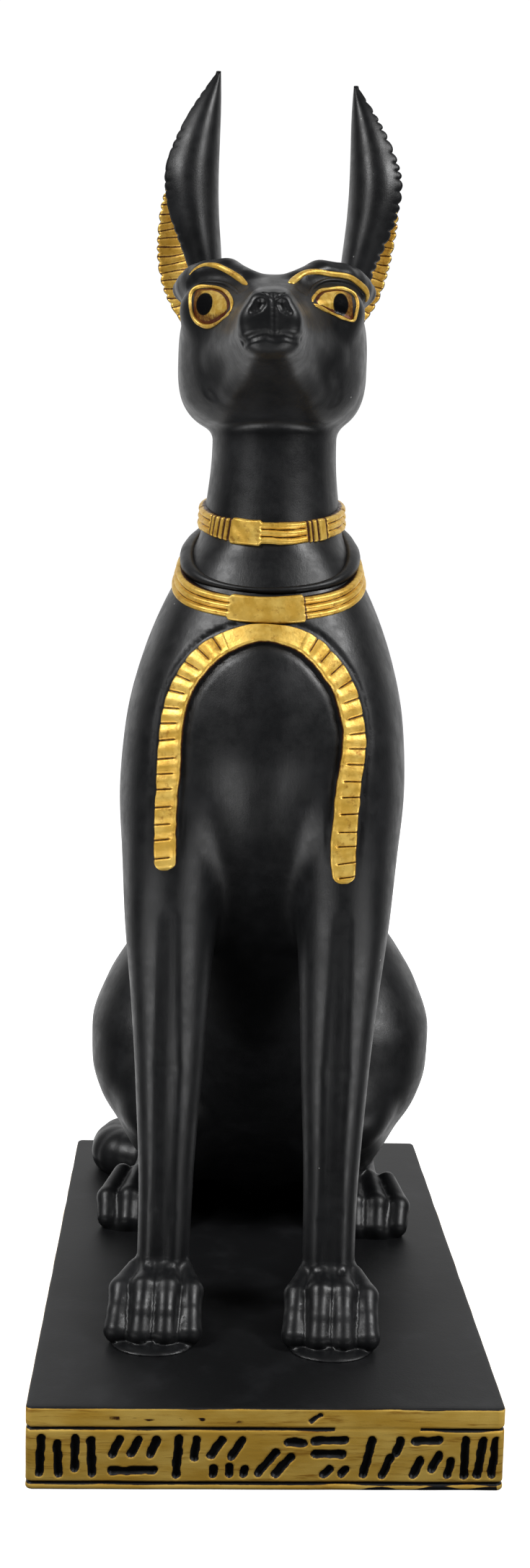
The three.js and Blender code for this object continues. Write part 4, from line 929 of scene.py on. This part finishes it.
def eye(side, word):
    """A gold rim with a groove inside it painted dark as shade, round a bulging ball with a black pupil and a painted
    highlight.
    """
    path, line = face_path(EYES[side], 96, True, 4)
    middle = path.mean(0)
    _, _, axes = np.linalg.svd(path - middle)
    out = axes[2] * -np.sign(axes[2][1])
    outwards = np.broadcast_to(out, path.shape)
    lumps = noise_along(96, 31 + side, 2.5, True) * (1 + 1.2 * step_up(0, 2, middle[2] - path[:, 2]))
    tube("eye_rim_" + word, path, outwards, 0.25 * (1 + 0.18 * lumps), [gold], True, 0.26, 12, -0.06)
    r = np.concatenate([np.linspace(0.02, 0.97, 44), [0.98]])[:, None, None]
    rise = 0.95 * np.sqrt(np.clip(1 - (r / 1.0) ** 2.2, 0, 1)) - 0.42
    rise[-1] = -2.0
    lift = (path - middle) @ out
    flat = path - middle - lift[:, None] * out
    points = middle + r * flat + (rise + r**2 * lift[:, None]) * out
    px, pz, rx, rz = PUPILS[side]
    from_pupil = np.hypot((points[..., 0] - px) / rx, (points[..., 2] - pz) / rz)
    dark = 1 - step_up(0.93, 1.05, from_pupil)
    share = np.broadcast_to(r[..., 0], from_pupil.shape)
    # Brown in the groove just inside the rim as painted shade, and a thin brown ring round the pupil
    tone_and_painted_shade = 0.85 * step_up(0.72, 0.82, share) + 0.4 * np.exp(-(((from_pupil - 1.16) / 0.1) ** 2))
    # Painted highlight: the gold stays light round the shine point and turns browner away from it
    from_shine = np.hypot(points[..., 0] - EYE_SHINE[side][0], points[..., 2] - EYE_SHINE[side][1])
    tone_and_painted_shade = np.maximum(tone_and_painted_shade, 0.58 * step_up(1.2, 2.8, from_shine))
    faces = [*sheet_faces(45, 96, False, True), list(range(96))[::-1]]
    if np.cross(path[1] - path[0], path[48] - path[0]) @ out > 0:
        faces = [list(face)[::-1] for face in faces]
    round_it = np.roll(points, -1, 1) - np.roll(points, 1, 1)
    normals = unit(np.cross(round_it, np.gradient(points, axis=0)))
    normals *= np.sign(normals @ out)[..., None]
    normals[0] = out
    piece(
        "eye_" + word, points.reshape(-1, 3), faces, [eye_paint],
        {"recess": np.clip(tone_and_painted_shade, 0, 0.9).ravel(), "pupil": dark.ravel()}, normals.reshape(-1, 3),
    )


for side, word in ((1, "left"), (-1, "right")):
    path, line = face_path(BROWS[side], 80)
    out = unit(slope_at(path))
    for _ in range(6):
        out[1:-1] = unit(out[:-2] + out[1:-1] + out[2:])
    s = np.linspace(-1, 1, 15)
    shape = np.sqrt(np.clip(1 - s**2, 0, 1))
    height = 0.38 * np.sqrt(line[:, 2:] / 0.45) * shape[None, :] - 0.12
    height[:, [0, -1]] = -0.6
    # Painted shade: the gold turns brown towards the brow's sloping edges
    recess = 0.55 * (1 - shape[None, :]) + 0 * line[:, 2:]
    raised("brow_" + word, path, out, line[:, 2] * 1.04, height, recess, [gold], False, s)
    path, line = face_path(FOLDS[side], 60)
    thick = 0.36 * np.sin(np.linspace(0.06, 0.94, 60) * np.pi) ** 0.6
    tube("lid_" + word, path, unit(slope_at(path)), thick, [resin], False, sides=12, sink=0.12)
    eye(side, word)

# Ears: shells curled round a gold hollow. Each row of the table: height, spine, front edge, rear edge,
# front of the curl, rear of the curl and wall thickness.
ear_at = curves([
    [152, 9.3, 10.5, 11.5, -2.5, 3.5, 3], [157, 8.9, 11.8, 14.8, -4.5, 6, 3], [160, 8.7, 12.4, 17, -5.6, 7, 2.8],
    [164, 8.5, 13.4, 18.6, -6.2, 7.8, 2.6], [168, 8.7, 15, 19.2, -6.4, 8, 2.5], [173, 9.1, 16.9, 19, -6.2, 7.8, 2.4],
    [178, 9.3, 17.6, 17.9, -5.6, 7.2, 2.2], [183, 9.4, 16.2, 15.8, -4.2, 6, 2], [188, 9.5, 13.8, 13.4, -2.4, 4.4, 1.6],
    [191.5, 9.7, 11.7, 11.5, -0.6, 3, 1.2], [193.6, 9.9, 10.4, 10.3, 1, 1.8, 0.7],
], 1.5)
RIGHT_EAR_DROP, RIGHT_EAR_TUCK = 1.8, 2.9
NOTCH_PITCH, NOTCH_DEPTH, RIB_PITCH = 1.55, 0.5, 1.25


def ear(name, side):
    heights = np.linspace(152, 193.55, 420)
    rows, recess, gilded = [], [], []
    steps = np.linspace(0, 6, 49)
    for z in heights:
        spine, front_edge, rear_edge, front, rear, wall = (float(v) for v in ear_at(z))
        if side > 0:
            rear_edge -= RIGHT_EAR_TUCK * step_up(0, 20, 184 - z)
        shake = 0.3 * np.sin(z * 0.9 + side)
        notch = abs(np.sin(np.pi * (z + shake - 167.7) / NOTCH_PITCH)) ** 0.6
        cut = NOTCH_DEPTH * (1 - notch) * step_up(156, 163, z) * (1 - step_up(190, 192, z))
        cut *= 1 if side > 0 else 0.3 + 0.2 * np.sin(z * 0.9)
        scallop = 0.45 * (1 - notch) * step_up(156, 162, z) * (1 - step_up(180, 186, z))
        middle, half = (front + rear) / 2, wall / 2
        curl = np.array([
            [front_edge, front + (middle - front) * 0.42, 0.12],
            [front_edge * 0.62 + spine * 0.38, front + half + 0.2, 0.75],
            [front_edge * 0.25 + spine * 0.75 + half * 0.5, front + (middle - front) * 0.3 + half * 0.6, 0.95],
            [spine + half, middle, 1],
            [rear_edge * 0.25 + spine * 0.75 + half * 0.5, rear + (middle - rear) * 0.3 - half * 0.6, 0.95],
            [rear_edge * 0.62 + spine * 0.38, rear - half - 0.2, 0.75],
            [rear_edge, rear + (middle - rear) * 0.35, 0.12],
        ])
        i = np.clip(steps.astype(int), 0, 5)
        t = (steps - i)[:, None]
        p0, p1 = curl[np.clip(i - 1, 0, 6)], curl[i]
        p2, p3 = curl[i + 1], curl[np.clip(i + 2, 0, 6)]
        smooth = 0.5 * (2 * p1 + (p2 - p0) * t + (2 * p0 - 5 * p1 + 4 * p2 - p3) * t**2
                        + (3 * p1 - p0 - 3 * p2 + p3) * t**3)
        for column in range(3):
            values = smooth[:, column]
            before = 2 * values[0] - values[12:0:-1]
            after = 2 * values[-1] - values[-2:-14:-1]
            smooth[:, column] = smoothed(np.concatenate([before, values, after]), 4, False)[12:-12]
        smooth[:, 0] -= cut * (1 - step_up(0, 0.5, steps)) + scallop * step_up(5.5, 6, steps)
        ahead = np.gradient(smooth[:, :2], axis=0)
        normal = unit(np.stack([-ahead[:, 1], ahead[:, 0]], -1))
        reach = half * np.clip(smooth[:, 2:], 0.1, 1)
        slant = 0.5 * (steps - 3) + 0.15 * np.sin(steps * 3 + z)
        rib = 0.5 + 0.5 * np.cos(2 * np.pi * (z + slant) / RIB_PITCH)
        sunk = 0.15 * (rib**5) * step_up(154, 158, z)
        hollow = smooth[:, :2] - normal * (reach - sunk[:, None])
        outer = smooth[:, :2] + normal * reach
        height = z - (RIGHT_EAR_DROP * (z - 152) / 42 if side > 0 else 0)
        ring = np.concatenate([hollow, outer[::-1]])
        rows.append(np.column_stack([side * ring[:, 0], ring[:, 1], np.full(len(ring), height)]))
        # Painted shade: the gold hollow turns brown along the sunk ribs
        recess.append(np.concatenate([0.62 * rib**5, np.zeros(49)]))
    points = np.array(rows)
    columns = points.shape[1]
    faces = sheet_faces(len(heights), columns, False, True)
    column = np.tile(np.arange(columns), len(heights) - 1)
    tall = np.repeat(heights[:-1], columns)
    inside = (column >= 1) & (column < 48) & (tall < 190)
    if side < 0:
        faces = faces[:, ::-1]
    top = (len(heights) - 1) * columns
    cap = [top + i for i in range(columns)]
    faces = [*faces, cap if side > 0 else cap[::-1]]
    return piece(
        name, points.reshape(-1, 3), faces, [resin, gold],
        {"recess": np.array(recess).ravel()}, None, [*inside.astype(int), 0],
    )


ear("ear_left", 1)
ear("ear_right", -1)

# Base block
# Plain strokes, which meet nowhere and form no sign. Each row: side and height of its two ends.
STROKES = np.array([
    [-29.8, 2.3, -29.6, 7.2], [-27.3, 2.4, -27.5, 6.5], [-25.2, 3.1, -25.1, 7.2], [-22.9, 2.3, -23.1, 6.9],
    [-20.3, 5.1, -19.3, 7.1], [-17.8, 5, -16.8, 7.1], [-15.3, 5.1, -14.4, 7], [-20.4, 2.7, -14.8, 2.8],
    [-11.8, 2.2, -11.5, 7.2], [-9.5, 4.6, -9.2, 7.1],
    [-7.3, 4.9, -5.8, 7.1], [-4.6, 4.8, -3.1, 6.9], [-7, 2.3, -6.9, 3.1], [-4.8, 2.3, -4.8, 3.2], [-2.9, 2.3, -2.8, 3.1],
    [-0.9, 2.5, 1.3, 5.3], [1.3, 2.3, 3.3, 4.8], [2.9, 6.8, 5, 6.6],
    [6.3, 7, 10.4, 7.1], [6.5, 5.2, 10.2, 5.1], [7.7, 2.3, 8.4, 3.1], [10.1, 2.3, 10.6, 3],
    [13, 2.3, 14, 7.1], [15.5, 2.3, 16.5, 4.7], [17.2, 5.3, 17.8, 7.1],
    [19.7, 7, 22.9, 7.1], [19.6, 2.3, 20.5, 4.3], [22, 3, 23, 5.1], [24.2, 2.3, 24.6, 4.2],
    [26.4, 2.2, 26.5, 7.2], [28.2, 2.2, 28.8, 7.1], [30, 2.3, 30.5, 7],
])


def wobble(x, z, seed, size):
    """Smooth unevenness over the front, from a few crossing waves."""
    random = np.random.default_rng(seed)
    out = np.zeros(np.broadcast(x, z).shape)
    for _ in range(7):
        angle, wave, phase = random.uniform(0, 2 * np.pi), size * random.uniform(0.7, 1.8), random.uniform(0, 6.3)
        out += np.sin((x * np.cos(angle) + z * np.sin(angle)) * 2 * np.pi / wave + phase)
    return out / 3.5


def from_segment(x, z, a, b, c, d):
    along = np.clip(((x - a) * (c - a) + (z - b) * (d - b)) / ((c - a) ** 2 + (d - b) ** 2), 0, 1)
    return np.hypot(x - a - along * (c - a), z - b - along * (d - b))


# The wall's outline, finer along the front, and the way inwards at each of its points
w, l, r = BASE_WIDTH / 2, BASE_LENGTH / 2, BASE_CORNER
arc = np.radians(np.arange(0, 90, 11.25))
outline, inward = [], []


def run_side(ax, ay, bx, by, cell, nx, ny):
    n = int(round(np.hypot(bx - ax, by - ay) / cell))
    for i in range(n):
        outline.append((ax + (bx - ax) * i / n, ay + (by - ay) * i / n))
        inward.append((nx, ny))


def run_corner(cx, cy, start):
    for a in arc + np.radians(start):
        outline.append((cx + r * np.cos(a), cy + r * np.sin(a)))
        inward.append((-np.cos(a), -np.sin(a)))


run_side(-w + r, -l, w - r, -l, 0.16, 0, 1)
run_corner(w - r, -l + r, -90)
run_side(w, -l + r, w, l - r, 0.6, -1, 0)
run_corner(w - r, l - r, 0)
run_side(w - r, l, -w + r, l, 0.6, 0, -1)
run_corner(-w + r, l - r, 90)
run_side(-w, l - r, -w, -l + r, 0.6, 1, 0)
run_corner(-w + r, -l + r, 180)
outline, inward = np.array(outline), np.array(inward)
n = len(outline)
edge = BASE_EDGE
bend = np.linspace(0, np.pi / 2, 5)
low_z, low_in = edge - edge * np.cos(bend), edge - edge * np.sin(bend)
wall_z = np.concatenate([low_z[:-1], np.arange(edge, BASE_HEIGHT - edge, 0.16), (BASE_HEIGHT - low_z)[::-1]])
wall_in = np.concatenate([low_in[:-1], np.zeros(len(np.arange(edge, BASE_HEIGHT - edge, 0.16))), low_in[::-1]])
X, Z = np.meshgrid(outline[:, 0], wall_z, indexing="xy")
Y = np.broadcast_to(outline[:, 1], X.shape)
front = inward[:, 1] > 0.99
side_place = np.where(np.abs(inward[:, 0])[None, :] > 0.5, Y, X)
depth = np.zeros(X.shape)
ink = np.zeros(X.shape)
waver = wobble(side_place, Z, 4, 6.0)
for place, low in ((LINE_HIGH, False), (LINE_LOW, True)):
    off = np.abs(Z - place - 0.06 * wobble(side_place, Z * 0, 8 + low, 14))
    faint = step_up(-0.7, 0.1, wobble(side_place, Z * 0, 14 + low, 22) + 0.75)
    if not low:
        faint = np.where(front[None, :] & (X > 9) & (X < 20.5), 0.12, faint)
    depth = np.maximum(depth, 0.36 * faint * np.exp(-((off / 0.2) ** 2)))
    ink = np.maximum(ink, faint * (1 - step_up(0.13, 0.3, off + 0.05 * waver)))
for a, b, c, d in STROKES:
    off = from_segment(X, Z, a, b, c, d) + 0.09 * wobble(X, Z, 5, 1.9)
    depth = np.where(front, np.maximum(depth, 0.6 * (1 - step_up(0.3, 0.62, off))), depth)
    ink = np.where(front, np.maximum(ink, 1 - step_up(0.46, 0.66, off)), ink)
chip = from_segment(X, Z, 5.9, 9.8, 7.0, 10.6) + 0.12 * wobble(X, Z, 6, 1.2)
depth = np.where(front, np.maximum(depth, 0.3 * (1 - step_up(0.15, 0.4, chip))), depth)
ink = np.where(front, np.maximum(ink, 1 - step_up(0.22, 0.36, chip)), ink)
# Bare resin along the lower right edge and thin dark smears on the upper left border
bare = 1 - step_up(0.25, 0.75, Z + 0.35 * wobble(X, Z, 9, 5) + 1.2 * (1 - step_up(8, 14, X)))
ink = np.where(front, np.maximum(ink, bare), ink)
smear = (1 - step_up(0.16, 0.4, np.abs(Z - 9.9 - 0.35 * wobble(X, Z * 0, 2, 9)))) * step_up(-23, -19, X) * (1 - step_up(-6, 1, X))
ink = np.where(front, np.maximum(ink, 0.55 * smear * step_up(-0.4, 0.4, wobble(X, Z, 12, 2.2))), ink)
depth = depth + 0.03 * waver
ink = np.maximum(ink, step_up(BASE_HEIGHT - 0.22, BASE_HEIGHT - 0.08, Z + 0.05 * waver))
wall = np.stack([X + inward[:, 0] * (wall_in[:, None] + depth), Y + inward[:, 1] * (wall_in[:, None] + depth), Z], -1)

# Top and underside: two narrow rings, so that shading is level inside them, and one flat face in the middle
spine = np.stack([outline[:, 0] * 0, np.clip(outline[:, 1], -(l - w), l - w)], -1)
rim = outline + inward * edge
rings = [rim * (1 - share) + spine * share for share in (0.025, 0.1)]
top = [np.column_stack([ring, np.full(n, BASE_HEIGHT)]) for ring in rings]
bottom = [np.column_stack([ring, np.zeros(n)]) for ring in rings[::-1]]
points = np.concatenate([*bottom, wall.reshape(-1, 3), *top])
rows = len(points) // n
faces = [*sheet_faces(rows, n, False, True), list(range(n))[::-1], list(range((rows - 1) * n, rows * n))]
inked = np.concatenate([np.ones(n * len(bottom)), ink.ravel(), np.ones(n * len(top))])
sunk = np.concatenate([np.zeros(n * len(bottom)), depth.ravel(), np.zeros(n * len(top))])

m = Nodes("base_paint", Specular_IOR_Level=0.4, Metallic=0.25)
streak = m.noise(0.5, 4, 0.65, (14, 14, 1))
broad = m.mix(m.ramp(m.noise(3.5, 3, 0.6, (3, 3, 1)), 0.35, 0.7), GOLD, GOLD_LIGHT)
brushed = m.mix(m.ramp(streak, 0.52, 0.72), broad, GOLD_DEEP)
ragged = m.math("ADD", m.value("ink"), m.math("MULTIPLY", m.math("SUBTRACT", m.noise(0.45, 4, 0.7, (2, 2, 1)), 0.5), 0.55))
warm = m.mix(m.ramp(ragged, 0.2, 0.5), brushed, BROWN)
bare = m.ramp(ragged, 0.42, 0.58)
cloud = m.mix(m.ramp(m.noise(7, 3, 0.6), 0.45, 0.8), BLACK, BLACK_WORN)
m.set("Base Color", m.mix(bare, warm, cloud))
m.set("Roughness", m.ramp(bare, 0, 1, 0.4, 0.52))
fine = m.bump(m.noise(0.3, 2, 0.6), 0.012)
m.set("Normal", m.bump(streak, 0.03, over=fine))
base = piece(
    "base_block", points, faces, [m.material], {"ink": inked, "depth": sunk}, placed=True,
)
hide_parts("base")

# Stage, light and camera
m = Nodes("pale_floor", Roughness=0.95, Specular_IOR_Level=0.05)
m.set("Base Color", m.mix(m.ramp(m.noise(180, 2, 0.5), 0.3, 0.7), (0.88, 0.88, 0.88, 1), (0.92, 0.92, 0.92, 1)))
m.shader.inputs["Emission Color"].default_value = (1, 1, 1, 1)
m.shader.inputs["Emission Strength"].default_value = 0.85
bpy.ops.mesh.primitive_plane_add(size=12, location=(0, 0, 0))
floor = bpy.context.object
floor.name = "floor"
floor.data.materials.append(m.material)
floor.visible_glossy = False
floor.visible_diffuse = False

# A bright backdrop behind the figurine and a dim room on the other sides
world = bpy.data.worlds.new("studio")
bpy.context.scene.world = world
world.use_nodes = True
tree = world.node_tree
tree.nodes.clear()
place = tree.nodes.new("ShaderNodeTexCoord")
split = tree.nodes.new("ShaderNodeSeparateXYZ")
strength = tree.nodes.new("ShaderNodeMapRange")
strength.interpolation_type = "SMOOTHSTEP"
for key, value in (("From Min", 0.35), ("From Max", 0.88), ("To Min", 0.045), ("To Max", 1.05)):
    strength.inputs[key].default_value = value
backdrop = tree.nodes.new("ShaderNodeBackground")
backdrop.inputs["Color"].default_value = (1, 1, 1, 1)
out = tree.nodes.new("ShaderNodeOutputWorld")
tree.links.new(place.outputs["Generated"], split.inputs[0])
tree.links.new(split.outputs["Y"], strength.inputs["Value"])
tree.links.new(strength.outputs["Result"], backdrop.inputs["Strength"])
tree.links.new(backdrop.outputs[0], out.inputs["Surface"])


def area_light(name, location, width, height, power):
    light = bpy.data.lights.new(name, "AREA")
    light.shape = "RECTANGLE"
    light.size, light.size_y, light.energy = width, height, power
    made = bpy.data.objects.new(name, light)
    bpy.context.scene.collection.objects.link(made)
    made.location = location
    return made


def soft_box(name, location, target, width, height, power):
    made = area_light(name, location, width, height, power)
    back = (np.array(location) - np.array(target)) / np.linalg.norm(np.array(location) - np.array(target))
    right = np.cross([0, 0, 1], back)
    right /= np.linalg.norm(right)
    up = np.cross(back, right)
    made.rotation_euler = Matrix(np.column_stack([right, up, back]).tolist()).to_euler()


soft_box("left_box", (-0.62, -0.36, 0.74), (0, 0, 0.09), 0.3, 0.3, 5.5)
soft_box("right_box", (0.62, -0.36, 0.74), (0, 0, 0.09), 0.3, 0.3, 6.5)
# Two low cards beside the view, which show as streaks down the legs
soft_box("left_card", (-0.15, -0.14, 0.004), (-0.1501, -0.14, 0.1), 0.16, 0.18, 0.4)
soft_box("right_card", (0.15, -0.14, 0.004), (0.1501, -0.14, 0.1), 0.16, 0.18, 0.4)

camera = bpy.data.cameras.new("camera")
camera.sensor_width = 36.0
camera.lens = 2559.0 / 2176 * 36
camera.clip_start, camera.clip_end = 0.01, 50
viewer = bpy.data.objects.new("camera", camera)
bpy.context.scene.collection.objects.link(viewer)
yaw, pitch, roll = np.radians([2.23, -7.7, 1.32])
forward = np.array([np.sin(yaw) * np.cos(pitch), np.cos(yaw) * np.cos(pitch), np.sin(pitch)])
right = np.array([np.cos(yaw), -np.sin(yaw), 0])
up = np.cross(right, forward)
right, up = right * np.cos(roll) + up * np.sin(roll), up * np.cos(roll) - right * np.sin(roll)
viewer.rotation_euler = Matrix(np.column_stack([right, up, -forward]).tolist()).to_euler()
viewer.location = (-0.0111, -0.2835, 0.1256)
bpy.context.scene.camera = viewer
bpy.context.scene.view_settings.view_transform = "Standard"
